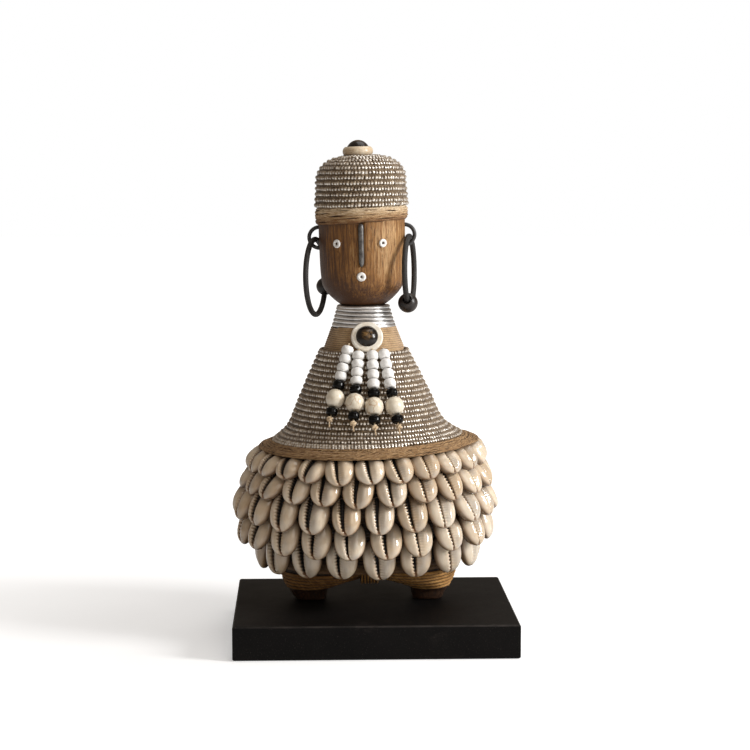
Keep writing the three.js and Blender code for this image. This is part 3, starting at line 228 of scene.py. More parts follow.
def seed_bead_material():
    """Taupe glass with a bright lining; its glint is a painted highlight, a pale spot on the outer side."""
    m = Material("seed_bead_glass")
    tint = m.attribute("tint")
    glass = m.ramp(tint, (0.0, (0.12, 0.078, 0.045)), (0.35, (0.23, 0.165, 0.105)),
                   (0.7, (0.34, 0.262, 0.175)), (1.0, (0.52, 0.43, 0.315)))
    cloud = m.noise(m.coords(900), detail=2)
    # Painted highlight: the rim attribute marks each bead's glint spot, which is painted pale
    painted_glint = m.share(m.attribute("rim") + tint * 0.2, 0.34, 0.74)
    colour = m.mix(painted_glint, m.mix(cloud * 0.3, glass, (0.14, 0.088, 0.048)), (0.97, 0.93, 0.86))
    return m.finish(colour, 0.3 - painted_glint * 0.1, m.bump(cloud, 0.25, 0.00012), Metallic=painted_glint * 0.6,
                    Coat_Weight=0.35, Coat_Roughness=0.12)


def cowrie_material():
    """Cream back, grey ring, pale lips and a brown rim, partly the shell's own tint and partly painted shade
    where shells meet, near-black at the very edge; painted shade on the tucked-in top under the row above;
    and a slit painted near-black as the shade inside it, brown at its lower end.
    """
    m = Material("cowrie_shell")
    slit, lip, edge, tuck = (m.attribute(name) for name in ("slit", "lip", "rim", "tuck"))
    broad = m.noise(m.coords(120), detail=3)
    streak = m.noise(m.lay(0.35, 1.0, 2.2), scale=1.2)
    cream = m.ramp(broad * 0.45 + m.attribute("tint") * 0.55,
                   (0.2, (0.45, 0.325, 0.205)), (0.42, (0.62, 0.485, 0.335)),
                   (0.6, (0.70, 0.575, 0.425)), (0.82, (0.77, 0.675, 0.54)))
    grey = m.ramp(lip, (0.52, 0.0), (0.58, 1.0), (0.70, 0.9), (0.82, 0.0))
    grey = grey * m.share(m.noise(m.coords(75), detail=2), 0.42, 0.56)
    brown = m.ramp(slit, (0.03, 0.0), (0.2, 1.0), (0.4, 0.6))
    depth = m.mix(m.fall(tuck, 0.08, 0.2), (0.006, 0.004, 0.0026), (0.19, 0.088, 0.03))
    layers = (
        (m.share(streak, 0.45, 0.75) * 0.45, (0.56, 0.42, 0.27)),
        (grey * 0.5, (0.38, 0.355, 0.325)),
        (m.fall(lip, 0.28, 0.44) * 0.3, (0.84, 0.77, 0.65)),
        # Brown towards the rim, partly the shell's own tint and partly painted shade where shells meet;
        (m.share(edge, 0.25, 0.8) * 0.5, (0.36, 0.20, 0.09)),
        # near-black at the very edge as painted shade
        (m.share(edge, 0.7, 1.0) * 0.8, (0.085, 0.042, 0.018)),
        # Painted shade on the top of each shell, where the row above covers it
        (m.share(tuck, 0.48, 0.84, 0.8), (0.13, 0.07, 0.032)),
        (brown * 0.6, (0.20, 0.105, 0.042)),
        # Painted shade in the slit: near-black inside it, brown at its lower end
        (m.ramp(slit, (0.2, 0.0), (0.42, 0.8), (0.7, 1.0)), depth),
    )
    colour = cream
    for fac, paint in layers:
        colour = m.mix(fac, colour, paint)
    fine = m.noise(m.coords(1500), detail=2)
    return m.finish(colour, slit * 0.6 + 0.15, m.bump(fine, 0.12, 0.0001), Coat_Weight=0.4,
                    Coat_Roughness=0.07, Subsurface_Weight=0.06, Subsurface_Radius=(0.004, 0.002, 0.001))


def wire_material():
    m = Material("bright_wire")
    drawn = m.noise(m.lay(5.0, 5.0, 0.12), scale=2.0)
    colour = m.ramp(m.noise(m.coords(150), detail=3), (0.3, (0.42, 0.41, 0.40)), (0.6, (0.72, 0.71, 0.70)))
    return m.finish(colour, drawn * 0.16 + 0.28, m.bump(drawn, 0.25, 0.00008), Metallic=1.0)


def raffia_material(name, dark, mid, light, slant, patch):
    """Dry fibres that run along the band and cross it at a slant; the tint attribute makes places lighter.
    Painted shade darkens the grooves between strands and the band's back, through the rim attribute.
    """
    m = Material(name)
    along, across, up = m.node("SeparateXYZ", out=(0, 1, 2), i0=m.attribute("lay", out=1))
    lay = m.node("CombineXYZ", i0=along, i1=across + along * slant, i2=up)
    fibres = m.noise(m.stretched(lay, 0.20, 3.2, 1.0), detail=6, rough=0.75)
    bits = m.noise(m.stretched(lay, 0.24, 2.6, 1.0), rough=0.6)
    fray = m.noise(m.stretched(lay, 1.0, 7.0, 1.0), detail=3, rough=0.6)
    mixed = fibres * 0.72 + fray * 0.28 + m.attribute("tint") * 0.08
    colour = m.ramp(mixed, (0.38, dark), (0.5, mid), (0.62, light))
    colour = m.mix(m.share(bits, 0.53, 0.62) * 0.85, colour, scaled(dark, patch))
    # Painted shade in the grooves and on the back, from the rim attribute
    colour = m.mix(m.share(m.attribute("rim"), 0.25, 0.8, 0.95), colour, scaled(dark, 0.2))
    height = fibres + fray * 0.6 - bits * 0.5
    return m.finish(colour, 0.7, m.bump(height, 1.0, 0.0006), specular=0.22, Sheen_Weight=0.08,
                    Sheen_Roughness=0.5)


BLOCK_X, BLOCK_Y, BLOCK_Z, BLOCK_EDGE = 0.075, 0.06, 0.018, 0.0009


def block_material():
    """Matt black paint with dust, scuffs and worn upper edges; the places are the block's own, in metres."""
    m = Material("black_painted_wood")
    dust = m.noise(m.coords(38), detail=5, rough=0.65)
    specks = m.noise(m.coords(1400), detail=2, rough=0.8)
    scuff = m.noise(m.coords(26, 60, 60), detail=6, rough=0.72, distortion=1.2)
    x, y, z = m.node("SeparateXYZ", out=(0, 1, 2), i0=m.node("TexCoord", out=3))
    beside = m.math("ABSOLUTE", x) - (BLOCK_X - BLOCK_EDGE)
    before = m.math("ABSOLUTE", y) - (BLOCK_Y - BLOCK_EDGE)
    corner = m.math("MINIMUM", m.math("MAXIMUM", beside, before), z - (BLOCK_Z - BLOCK_EDGE))
    edge = m.share(corner * (1 / BLOCK_EDGE), 0.0, 0.25)
    colour = m.ramp(dust, (0.35, (0.0016, 0.0014, 0.0014)), (0.65, (0.0042, 0.0036, 0.0034)))
    colour = m.mix(m.share(specks, 0.62, 0.70) * 0.7, colour, (0.055, 0.046, 0.042))
    colour = m.mix(m.share(scuff, 0.60, 0.78) * 0.3, colour, (0.042, 0.034, 0.031))
    colour = m.mix(edge * m.ramp(dust, (0.4, 0.1), (0.7, 0.6)), colour, (0.075, 0.064, 0.058))
    return m.finish(colour, dust * 0.25 + 0.48, m.bump(m.noise(m.coords(520)), 0.35, 0.00018), specular=0.1)


def plain_material(name, dark, light, roughness, scale, bump, **sockets):
    m = Material(name)
    cloud = m.noise(m.coords(scale), detail=5, rough=0.6)
    colour = m.ramp(cloud, (0.36, dark), (0.64, light))
    return m.finish(colour, cloud * 0.14 + roughness, m.bump(cloud, bump, 0.00015), **sockets)


def hoop_material():
    m = Material("charcoal_fibre")
    fibres = m.noise(m.lay(4.0, 4.0, 0.9), scale=1.5, detail=6, rough=0.75)
    fuzz = m.noise(m.coords(2600), detail=3, rough=0.7)
    colour = m.ramp(fibres, (0.34, (0.010, 0.009, 0.0085)), (0.55, (0.027, 0.0245, 0.023)),
                    (0.74, (0.078, 0.071, 0.066)))
    colour = m.mix(m.share(fuzz, 0.58, 0.7) * 0.3, colour, (0.14, 0.13, 0.125))
    return m.finish(colour, 0.6, m.bump(fibres + fuzz, 0.5, 0.00015), specular=0.35)


def dome_material():
    """Near-black glass with a bronze mottle round its middle."""
    m = Material("dark_dome_glass")
    mottle = m.noise(m.coords(420), rough=0.7, distortion=0.8)
    gold = m.share(mottle, 0.42, 0.66) * m.fall(m.attribute("rim"), 0.12, 0.62)
    colour = m.mix(gold, (0.010, 0.0065, 0.0045), (0.34, 0.19, 0.065))
    return m.finish(colour, 0.22, m.bump(mottle, 0.12, 0.0002), specular=0.3, Coat_Weight=0.12,
                    Coat_Roughness=0.05)


def howlite_material():
    """Cream stone; the tint attribute is the strength of its veins."""
    m = Material("veined_howlite")
    place = m.coords(150)
    warp = m.node("TexNoise", out=1, Vector=place, Scale=2.2, Detail=3.0)
    bent = m.node("VectorMath", props={"operation": "MULTIPLY_ADD"}, i0=warp, i1=(0.5, 0.5, 0.5), i2=place)
    border = m.node("TexVoronoi", out="Distance", props={"feature": "DISTANCE_TO_EDGE"}, Vector=bent,
                    Scale=1.25)
    vein = m.fall(border, 0.0, 0.045)
    stone = m.ramp(m.noise(m.coords(240), detail=3), (0.35, (0.71, 0.62, 0.475)), (0.6, (0.81, 0.74, 0.61)))
    colour = m.mix(vein * m.attribute("tint"), stone, (0.46, 0.26, 0.10))
    return m.finish(colour, 0.32, m.bump(vein, -0.1, 0.0001), Coat_Weight=0.25, Coat_Roughness=0.15)


WOOD = wood_material("carved_wood", (0.066, 0.022, 0.003), (0.262, 0.115, 0.026), (0.50, 0.30, 0.13), 0.40)
# The feet and the core take darker copies of the carved wood: painted shade under the skirt and under the
# windings
FOOT_WOOD_IN_SHADE = wood_material("foot_wood", (0.008, 0.003, 0.001), (0.035, 0.014, 0.005),
                          (0.085, 0.036, 0.013), 0.5)
CORE_WOOD_IN_SHADE = wood_material("core_wood", (0.012, 0.006, 0.003), (0.035, 0.019, 0.009),
                          (0.06, 0.034, 0.017), 0.65)
ROPE = fibre_material("leg_rope_fibre", (0.17, 0.078, 0.022), (0.39, 0.195, 0.058), (0.64, 0.37, 0.135),
                      fuzz=0.08, sunk=0.1)
TWINE = fibre_material("neck_twine_fibre", (0.25, 0.145, 0.065), (0.50, 0.33, 0.175), (0.72, 0.53, 0.32), 0.4)
VALLEY_TWINE = fibre_material("bead_row_twine", (0.045, 0.027, 0.013), (0.16, 0.105, 0.056),
                              (0.31, 0.225, 0.135), 0.4)
# The skirt twine is very dark, partly its own colour and partly painted shade under the shells
DARK_AND_SHADED_SKIRT_TWINE = fibre_material("skirt_twine_fibre", (0.006, 0.0035, 0.0018), (0.030, 0.0165, 0.008),
                            (0.13, 0.07, 0.028))
THREAD = fibre_material("strand_thread_fibre", (0.42, 0.27, 0.14), (0.66, 0.50, 0.32),
                        (0.82, 0.70, 0.52), 0.4)
SEED = seed_bead_material()
SHELL = cowrie_material()
WIRE = wire_material()
HAT_RAFFIA = raffia_material("hat_raffia", (0.20, 0.085, 0.026), (0.58, 0.375, 0.19), (0.95, 0.77, 0.53),
                             0.03, 1.2)
HEM_RAFFIA = raffia_material("hem_raffia", (0.095, 0.042, 0.013), (0.36, 0.205, 0.088),
                             (0.68, 0.46, 0.24), 0.14, 0.5)
BLOCK = block_material()
HOOP = hoop_material()
EAR_IRON = plain_material("ear_iron", (0.016, 0.015, 0.015), (0.045, 0.042, 0.04), 0.38, 900, 0.3)
NOSE_IRON = plain_material("nose_iron", (0.055, 0.052, 0.05), (0.17, 0.163, 0.155), 0.30, 500, 0.25,
                           Metallic=0.55)
HOOP_BEAD = plain_material("hoop_bead_glass", (0.006, 0.0042, 0.0035), (0.026, 0.018, 0.014), 0.30, 380, 0.25,
                           specular=0.4)
WHITE_GLASS = plain_material("white_bead_glass", (0.80, 0.785, 0.76), (0.90, 0.89, 0.865), 0.42, 700, 0.5,
                             specular=0.45)
BLACK_GLASS = plain_material("black_bead_glass", (0.0008, 0.0007, 0.0007), (0.0028, 0.0025, 0.0025),
                             0.05, 500, 0.3, specular=0.14)
HAT_BONE = plain_material("hat_bone", (0.58, 0.43, 0.27), (0.76, 0.66, 0.50), 0.3, 260, 0.2, specular=0.45,
                          Coat_Weight=0.15, Coat_Roughness=0.15)
BROOCH_BONE = plain_material("brooch_bone", (0.76, 0.67, 0.53), (0.90, 0.86, 0.77), 0.3, 260, 0.2,
                             Coat_Weight=0.2, Coat_Roughness=0.15)
PIN = plain_material("brown_pin_wood", (0.035, 0.018, 0.009), (0.10, 0.055, 0.025), 0.5, 900, 0.2)
STEEL = plain_material("screw_steel", (0.35, 0.35, 0.34), (0.55, 0.55, 0.54), 0.28, 400, 0.1, Metallic=1.0)
DOME = dome_material()
HOWLITE = howlite_material()


# Mesh helpers
def build(name, verts, faces, mat, slot, node=None, body=ROOT, **attributes):
    """One piece from points (doll frame, mm) and quads and triangles; node is the CAD node it replaces."""
    co = to_row(verts)
    mesh = bpy.data.meshes.new(name)
    blocks = [np.asarray(f, int) for f in faces if len(f)]
    loops = np.concatenate([b.ravel() for b in blocks])
    sizes = np.concatenate([np.full(len(b), b.shape[1]) for b in blocks])
    mesh.vertices.add(len(co))
    mesh.vertices.foreach_set("co", co.astype(np.float32).ravel())
    mesh.loops.add(len(loops))
    mesh.loops.foreach_set("vertex_index", loops.astype(np.int32))
    mesh.polygons.add(len(sizes))
    mesh.polygons.foreach_set("loop_start", np.concatenate([[0], np.cumsum(sizes)[:-1]]).astype(np.int32))
    mesh.update(calc_edges=True)
    mesh.polygons.foreach_set("use_smooth", np.full(len(sizes), True))
    for key, values in attributes.items():
        values = np.asarray(values, np.float32)
        vector = values.ndim == 2
        layer = mesh.attributes.new(key, "FLOAT_VECTOR" if vector else "FLOAT", "POINT")
        values = values if values.ndim else np.full(len(co), values)
        layer.data.foreach_set("vector" if vector else "value", values.ravel())
    mesh.validate()
    obj = bpy.data.objects.new(name, mesh)
    bpy.context.scene.collection.objects.link(obj)
    mesh.materials.append(mat)
    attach(obj, body)
    if node:
        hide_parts(node)
    return obj


def circle(count):
    return 2 * np.pi * np.arange(count) / count


def unit(v):
    return v / np.linalg.norm(v, axis=-1, keepdims=True)


def square_to(v, direction):
    """Unit vectors near v that stand square to the directions."""
    return unit(v - direction * np.einsum("ij,ij->i", v, direction)[:, None])


def run_along(path):
    return np.concatenate([[0], np.cumsum(np.linalg.norm(np.diff(path, axis=0), axis=1))])


def at_run(s, run, values):
    """Values at the distances s, from values known at the distances run."""
    return np.stack([np.interp(s, run, column) for column in values.T], -1)


def even(path, *others, step):
    """Resamples a path and its directions to even steps along it."""
    run = run_along(path)
    s = np.linspace(0, run[-1], max(2, int(run[-1] / step)))
    return [at_run(s, run, a) for a in (path, *others)]


def grid_faces(rows, columns, close_rows=False):
    """Quads of a grid of points stored row by row, each row closed on itself."""
    row = np.arange(rows if close_rows else rows - 1)[:, None]
    here, there = row * columns, (row + 1) % rows * columns
    column = np.arange(columns)
    beside = (column + 1) % columns
    return np.stack([here + column, here + beside, there + beside, there + column], -1).reshape(-1, 4)


def fan(ring, tip, flip=False):
    tri = np.stack([np.full(len(ring), tip), ring, np.roll(ring, -1)], -1)
    return tri[:, ::-1] if flip else tri


def facing_out(verts, quads, tris=()):
    """True if the closed skin's faces point out."""
    total = 0.0
    for q in (quads, tris) if len(tris) else (quads,):
        for k in range(1, q.shape[1] - 1):
            total += np.einsum("ij,ij->i", verts[q[:, 0]], np.cross(verts[q[:, k]], verts[q[:, k + 1]])).sum()
    return total > 0


def oriented(verts, quads, tris=()):
    if facing_out(verts, quads, tris):
        return [quads, tris]
    return [quads[:, ::-1], tris[:, ::-1] if len(tris) else tris]


def capped(rows, steps, verts, first_tip, last_tip):
    """A skin of rows of points, closed by a fan at its first and last row."""
    verts = np.concatenate([verts, [first_tip], [last_tip]])
    ring, last = np.arange(steps), (rows - 1) * steps
    tris = np.concatenate([fan(ring, rows * steps, flip=True), fan(ring + last, rows * steps + 1)])
    return verts, *oriented(verts, grid_faces(rows, steps), tris)


def skin(rings):
    return capped(len(rings), len(rings[0]), np.concatenate(rings), rings[0].mean(0), rings[-1].mean(0))


def lathe(profile, steps, closed=False):
    """Turns a profile of (r, z) about Z; its ends close on the axis, or a closed profile stays off it."""
    profile = np.asarray(profile, float)
    angle = circle(steps)
    r, z = profile[:, :1], profile[:, 1:]
    verts = np.stack([r * np.cos(angle), r * np.sin(angle), z * np.ones(steps)], -1).reshape(-1, 3)
    if closed:
        return verts, *oriented(verts, grid_faces(len(profile), steps, close_rows=True))
    return capped(len(profile), steps, verts, (0, 0, profile[0, 1]), (0, 0, profile[-1, 1]))


def sweep(path, first, second, radius, sides, lay_turns=0.0, lobes=0, lobe_depth=0.0, closed=False, phase=0):
    """Tube along a path. lobes and lay_turns twist a stranded section; radius may vary along the path."""
    n = len(path)
    run = run_along(path)
    radius = np.broadcast_to(np.asarray(radius, float), (n,))
    angle = circle(sides)
    turned = angle[None, :] - (lay_turns * run[:, None] * 2 * np.pi + phase)
    swell = 1.0
    if lobes:
        swell = 1 - lobe_depth * (1 - np.abs(np.cos(0.5 * lobes * turned)) ** 0.8)
    reach = radius[:, None] * swell * np.ones((n, sides))
    points = (path[:, None, :] + first[:, None, :] * (reach * np.cos(angle))[..., None]
              + second[:, None, :] * (reach * np.sin(angle))[..., None]).reshape(-1, 3)
    lay = np.stack([np.cos(turned), np.sin(turned), np.broadcast_to(run[:, None], turned.shape)], -1)
    lay = lay.reshape(-1, 3)
    if closed:
        return points, *oriented(points, grid_faces(n, sides, close_rows=True)), lay
    return *capped(n, sides, points, path[0], path[-1]), np.concatenate([lay, lay[:1], lay[-1:]])


def frames_from(path, guide):
    """Section directions for a path whose bends keep clear of the guide."""
    run = unit(np.gradient(path, axis=0))
    first = square_to(np.broadcast_to(np.asarray(guide, float), path.shape), run)
    return first, np.cross(run, first)


def gather(parts):
    """Joins (verts, quads, tris, attribute...) sets into one."""
    starts = np.cumsum([0] + [len(part[0]) for part in parts])
    quads = np.concatenate([part[1] + start for part, start in zip(parts, starts)])
    tris = [part[2] + start for part, start in zip(parts, starts) if len(part[2])]
    verts, *extras = (np.concatenate([part[k] for part in parts]) for k in (0, *range(3, len(parts[0]))))
    return verts, quads, np.concatenate(tris) if tris else (), *extras


def rotation_to(direction):
    """Matrix that turns +Z to a direction."""
    return np.array(Vector((0, 0, 1)).rotation_difference(Vector(direction)).to_matrix())


def wave(angle, seed, terms=7, low=1, high=24):
    """Smooth periodic noise round a turn, about -1 to 1."""
    rng = np.random.default_rng(seed)
    counts, starts = rng.integers(low, high, terms), rng.uniform(0, 6.28, terms)
    heights = rng.uniform(0.3, 1, terms)
    return sum(np.cos(k * angle + p) * a for k, p, a in zip(counts, starts, heights)) / terms * 1.8


# Outlines
class Outline:
    """The same smooth curve through points as in the CAD source, with distance along it."""

    def __init__(self, points):
        p = np.array(points, float)
        n = len(p)
        t = np.linspace(0, n - 1, 80 * (n - 1) + 1)
        i = np.minimum(t.astype(int), n - 2)
        w = (t - i)[:, None]
        p0, p1, p2, p3 = p[np.maximum(i - 1, 0)], p[i], p[i + 1], p[np.minimum(i + 2, n - 1)]
        v0, v1 = (p2 - p0) / 2, (p3 - p1) / 2
        cubic, square = 2 * p1 - 2 * p2 + v0 + v1, -3 * p1 + 3 * p2 - 2 * v0 - v1
        self.line = cubic * w**3 + square * w**2 + v0 * w + p1
        self.run = run_along(self.line)
        self.tangent = unit(np.gradient(self.line, axis=0))
        self.length = self.run[-1]

    def at(self, distance, depth=0.0):
        """Radius and height at a distance along the curve, depth under it, and the curve's direction."""
        d = np.clip(distance, 0, self.length)
        x, z = at_run(d, self.run, self.line).T
        tx, tz = at_run(d, self.run, self.tangent).T
        return x + tz * depth, z - tx * depth, tx, tz

    def radius_at(self, z):
        return float(np.interp(-z, -self.line[:, 1], self.line[:, 0]))

    def core(self, depth, count):
        return np.stack(self.at(np.linspace(0, self.length, count), depth)[:2], -1)


def hat_points():
    top, wide, brow, rise, power = 9.25, 24.9, 226, 17.5, 2.9
    points = []
    for i in range(9):
        r = top + (wide - top) * math.sin(i / 8 * math.pi / 2)
        points.append((r, brow + rise * max(0, 1 - (r / wide) ** power) ** (1 / power)))
    return points + [(25.4, 219.6), (25.9, 213.2)]


# Radius and height of the torso's top edge, of its waist over the hem, and of its lower edge
TORSO_TOP, TORSO_WAIST, TORSO_HEM = (24.1, 138.4), (41.4, 101), (51.6, 90.7)


def torso_points():
    def between(start, end, share_r, share_z, bulge=0.0):
        return start[0] + (end[0] - start[0]) * share_r + bulge, start[1] + (end[1] - start[1]) * share_z

    def slope(s):
        return between(TORSO_TOP, TORSO_WAIST, s, s, 0.5 * math.sin(math.pi * s))

    def flare(s):
        return between(TORSO_WAIST, TORSO_HEM, s**1.5, s)

    return [slope(0), slope(0.33), slope(0.67), slope(1), flare(0.35), flare(0.7), flare(1)]


HAT = Outline(hat_points())
TORSO = Outline(torso_points())
NECK_TWINE = Outline([(17.4, 150.6), (21.9, 138.9)])
NECK_TWINE_SHOWN = Outline([(17.4, 150.6), (22.1, 137.6)])
NECK_WIRE = Outline([(14.1, 162.4), (17.4, 150.6)])
LEVEL_TILT, LEVEL_LIFT = 0.018, 0.5


def level(x, z):
    """Height to add so that the windings of the neck and the upper torso lie level."""
    low = share_up(z, 112, 134)
    return LEVEL_LIFT * low * (1 - share_up(z, 140, 152)) - LEVEL_TILT * x * low * (1 - share_up(z, 158, 166))


def winding(outline, diameter, pitch, depth, step_mm, offset=0.0, shorten=0.0, over=0.0):
    """Helix in an outline, level for a share of a turn at each end: points, outward and side directions."""
    turns = (outline.length - diameter - shorten) / pitch
    count = int((turns + 2 * over) * 2 * math.pi * 30 / step_mm)
    t = np.linspace(-over, turns + over, count)
    r, z, tx, tz = outline.at(diameter / 2 + pitch * np.clip(t, 0, turns) + offset, depth)
    a = 2 * np.pi * t
    spoke = np.stack([np.cos(a), np.sin(a), np.zeros_like(a)], -1)
    path = spoke * r[:, None]
    path[:, 2] = z + level(path[:, 0], z)
    out = spoke * (-tz)[:, None]
    out[:, 2] = tx
    side = spoke * (-tx)[:, None]
    side[:, 2] = -tz
    return path, out, side


# Seed beads
OVERLAP = 0.62
BEAD_STEP, TWINE_STEP = 0.5, 0.9
BEAD_HOLE, BEAD_SHARE = 0.3, 0.95
# How far beads stray along their row, outwards, sideways and in their turn, and how their sizes vary
STRAY_ALONG, STRAY_OUT, STRAY_SIDE, STRAY_TURN, STRAY_SIZE = 0.07, 0.09, 0.08, 0.12, 0.055
ROW_TWIST = dict(lay_turns=0.35, lobes=2, lobe_depth=0.25)


def bead_template(length, radius, segments=11, rings=8):
    """A bead with its bore along x, and how near each point is to the middle of its outer, upper side, where
    a highlight is painted.
    """
    a = circle(rings)
    mid, tube = (radius + BEAD_HOLE) / 2, (radius - BEAD_HOLE) / 2
    r = mid + tube * np.sign(np.sin(a)) * np.abs(np.sin(a)) ** 0.8
    x = length / 2 * np.sign(np.cos(a)) * np.abs(np.cos(a)) ** 0.7
    t = circle(segments)
    verts = np.stack([x[:, None] * np.ones(segments), r[:, None] * np.cos(t), r[:, None] * np.sin(t)], -1)
    turn = np.abs((t + 0.35 + np.pi) % (2 * np.pi) - np.pi)
    upper = np.interp(np.sin(a), (0.5, 0.71, 1.0), (0.0, 0.4, 1.0))
    near = np.exp(-((turn / 0.45) ** 2))[None, :] * upper[:, None]
    return verts.reshape(-1, 3), grid_faces(rings, segments, close_rows=True), near.ravel()


def bead_rows(name, outline, diameter, pitch, spacing, node, shorten=0.0):
    """Random values are drawn for the whole outline, also where it is left bare by shorten."""
    whole, _, _ = winding(outline, diameter, pitch, diameter / 2, BEAD_STEP, over=OVERLAP)
    drawn = int(run_along(whole)[-1] / spacing)
    path, out, side = winding(outline, diameter, pitch, diameter / 2, BEAD_STEP, shorten=shorten,
                              over=OVERLAP)
    run = run_along(path)
    count = int(run[-1] / spacing)

    def spread(deviation):
        return RNG.normal(0, deviation, drawn)[:count, None]

    s = (np.arange(count) + 0.5) * spacing + spread(STRAY_ALONG)[:, 0]
    place, o, d = (at_run(s, run, a) for a in (path, out, side))
    place += o * spread(STRAY_OUT) + d * spread(STRAY_SIDE)
    along = np.cross(o, d)
    along += o * spread(STRAY_TURN) + d * spread(STRAY_TURN)
    along = unit(along)
    o = square_to(o, along)
    d = np.cross(along, o)
    shape, quads, near = bead_template(spacing * BEAD_SHARE, diameter / 2)
    size = RNG.normal(1, STRAY_SIZE, (drawn, 3))[:count].clip(0.86, 1.12)
    local = shape[None] * size[:, None, :]
    x, y, z = (local[..., k : k + 1] for k in range(3))
    verts = (place[:, None] + x * along[:, None] + y * o[:, None] + z * d[:, None]).reshape(-1, 3)
    quads = (quads[None] + (np.arange(count) * len(shape))[:, None, None]).reshape(-1, 4)
    tint = np.repeat(RNG.beta(2.0, 2.2, drawn)[:count], len(shape))
    # rim carries the spot of each bead's painted highlight
    build(name, verts, oriented(verts, quads), SEED, "seed_beads", node, tint=tint, rim=np.tile(near, count))


def valley_cord(name, outline, diameter, pitch, depth, node, shorten=0.0):
    """The twine that shows between two rows of beads."""
    rows = winding(outline, diameter, pitch, depth, TWINE_STEP, offset=pitch / 2, shorten=pitch + shorten,
                   over=OVERLAP)
    v, q, t, lay = sweep(*even(*rows, step=0.8), radius=0.72, sides=6, **ROW_TWIST)
    build(name, v, [q, t], VALLEY_TWINE, "seed_beads", node, lay=lay, tint=0)


def hat_top_twine():
    radius, height = 8.9, 242.6
    a = circle(120)
    outward = np.stack([np.cos(a), np.sin(a), 0 * a], -1)
    up = np.tile(UP, (len(a), 1))
    v, q, t, lay = sweep(radius * outward + UP * height, outward, up, 0.75, 6, closed=True, **ROW_TWIST)
    build("hat_top_twine", v, [q, t], VALLEY_TWINE, "seed_beads", "hat_bead_spiral", lay=lay, tint=0)


TORSO_ROWS = dict(outline=TORSO, diameter=2.2, pitch=2.8, node="torso_bead_spiral")
HAT_ROWS = dict(outline=HAT, diameter=2.3, pitch=2.98, node="hat_bead_spiral", shorten=2.4)
bead_rows("torso_seed_beads", spacing=1.74, **TORSO_ROWS)
bead_rows("hat_seed_beads", spacing=1.8, **HAT_ROWS)
valley_cord("torso_row_twine", depth=1.25, **TORSO_ROWS)
valley_cord("hat_row_twine", depth=1.3, **HAT_ROWS)
hat_top_twine()


# Neck windings
def between_turns(count, sides):
    """How deep each point of a wound tube lies between two turns."""
    return (1 - np.cos(2 * np.pi * (np.arange(count) % sides) / sides)) / 2


def neck_wire():
    rows = winding(NECK_WIRE, diameter=1.8, pitch=2.2, depth=0.9, step_mm=0.8, over=0.85)
    v, q, t, lay = sweep(*rows, radius=1.05, sides=14)
    build("neck_wire_turns", v, [q, t], WIRE, "bright_wire", "neck_wire_coil", lay=lay)


def neck_twine():
    sides = 7
    rows = winding(NECK_TWINE_SHOWN, diameter=0.95, pitch=1.22, depth=0.42, step_mm=0.5, over=0.4)
    v, q, t, lay = sweep(*even(*rows, step=0.42), 0.68, sides, lay_turns=0.42, lobes=2, lobe_depth=0.2)
    # rim paints shade between the turns
    build("neck_twine_turns", v, [q, t], TWINE, "twine", "neck_twine_wrap", lay=lay, tint=0,
          rim=0.42 * between_turns(len(v), sides))


neck_wire()
neck_twine()


# Carved figure
HEAD_LINE = Outline([(23.4, 213), (23.4, 204.8), (23.3, 196), (23.15, 188), (22.95, 182), (22.7, 178.8),
                     (22.35, 175.5), (21.5, 172.3), (19.3, 169), (16.1, 165.7), (13.3, 163.4)])
HEAD_R = 23.4
NOSE_TURN, NOSE_BOTTOM = math.radians(-2.8), 183.7
# Turn in degrees, height and radius of the two small pits in the cheeks
PITS = ((25.5, 192.6, 0.55), (-36, 192.0, 0.2))
SKIRT_TOP, SKIRT_BOTTOM = 83.4, 20.5
LEG_TOP, LEG_BOTTOM, ARCH_TOP = 19.9, 6.4, 14.5


def bell(x, middle, width):
    return np.exp(-(((x - middle) / width) ** 2))


def head():
    """Face with a channel for the nose rod; lighter on the right cheek, with painted shade at the chin, on
    the left and in a band under the hat.
    """
    profile = np.concatenate([[[2.0, 213.0]], HEAD_LINE.core(0.0, 110), [[12.6, 162.9], [9.0, 162.8]]])
    v, q, t = lathe(profile, 288)
    z = v[:, 2]
    turn = np.arctan2(v[:, 0], -v[:, 1])
    radius = np.hypot(v[:, 0], v[:, 1])
    across = np.abs((turn - NOSE_TURN) * HEAD_R)
    dent = 1.1 * np.clip(1 - (across / 1.95) ** 3, 0, 1) * np.clip((z - NOSE_BOTTOM + 0.6) / 1.5, 0, 1)
    for az, height, size in PITS:
        gap = np.hypot((turn - math.radians(az)) * HEAD_R, z - height)
        dent = np.maximum(dent, 0.7 * bell(gap, 0, size))
    scale = 1 - np.where(radius > 20, dent, 0) / np.maximum(radius, 1)
    bright = bell(turn, math.radians(30), 0.36) * bell(z, 197, 16)
    # Painted shade: darker at the chin, on the left and in a band just under the hat
    shade = np.clip(1 - (z - 163) / 17, 0, 1) + 0.75 * np.clip((-turn - 0.15) / 1.1, 0, 1)
    tint = 0.75 * bright - 1.6 * shade - 0.25 * bell(z, 207, 2.2)
    v[:, :2] *= scale[:, None]
    build("carved_head", v, [q, t], WOOD, "carved_wood", "carved_figure", tint=tint)


def leg_section(z, sink=0.0):
    """Middle in x and y and half widths in x and y of the right leg at a height, sunk under its surface."""
    def share(height, top):
        return share_up(height, LEG_BOTTOM, top)

    rise = share(z, LEG_TOP)
    outer = 44.6 + 4.2 * (1 - (1 - rise) ** 2) - sink
    inner = 22 + (0.35 - 22) * share(z - sink, ARCH_TOP) ** 1.3 + sink / 2
    depth = 12.5 + 19.5 * share(z - sink, LEG_TOP) ** 0.85
    return (outer + inner) / 2, 1.5 * (1 - rise), (outer - inner) / 2, depth - sink / 2


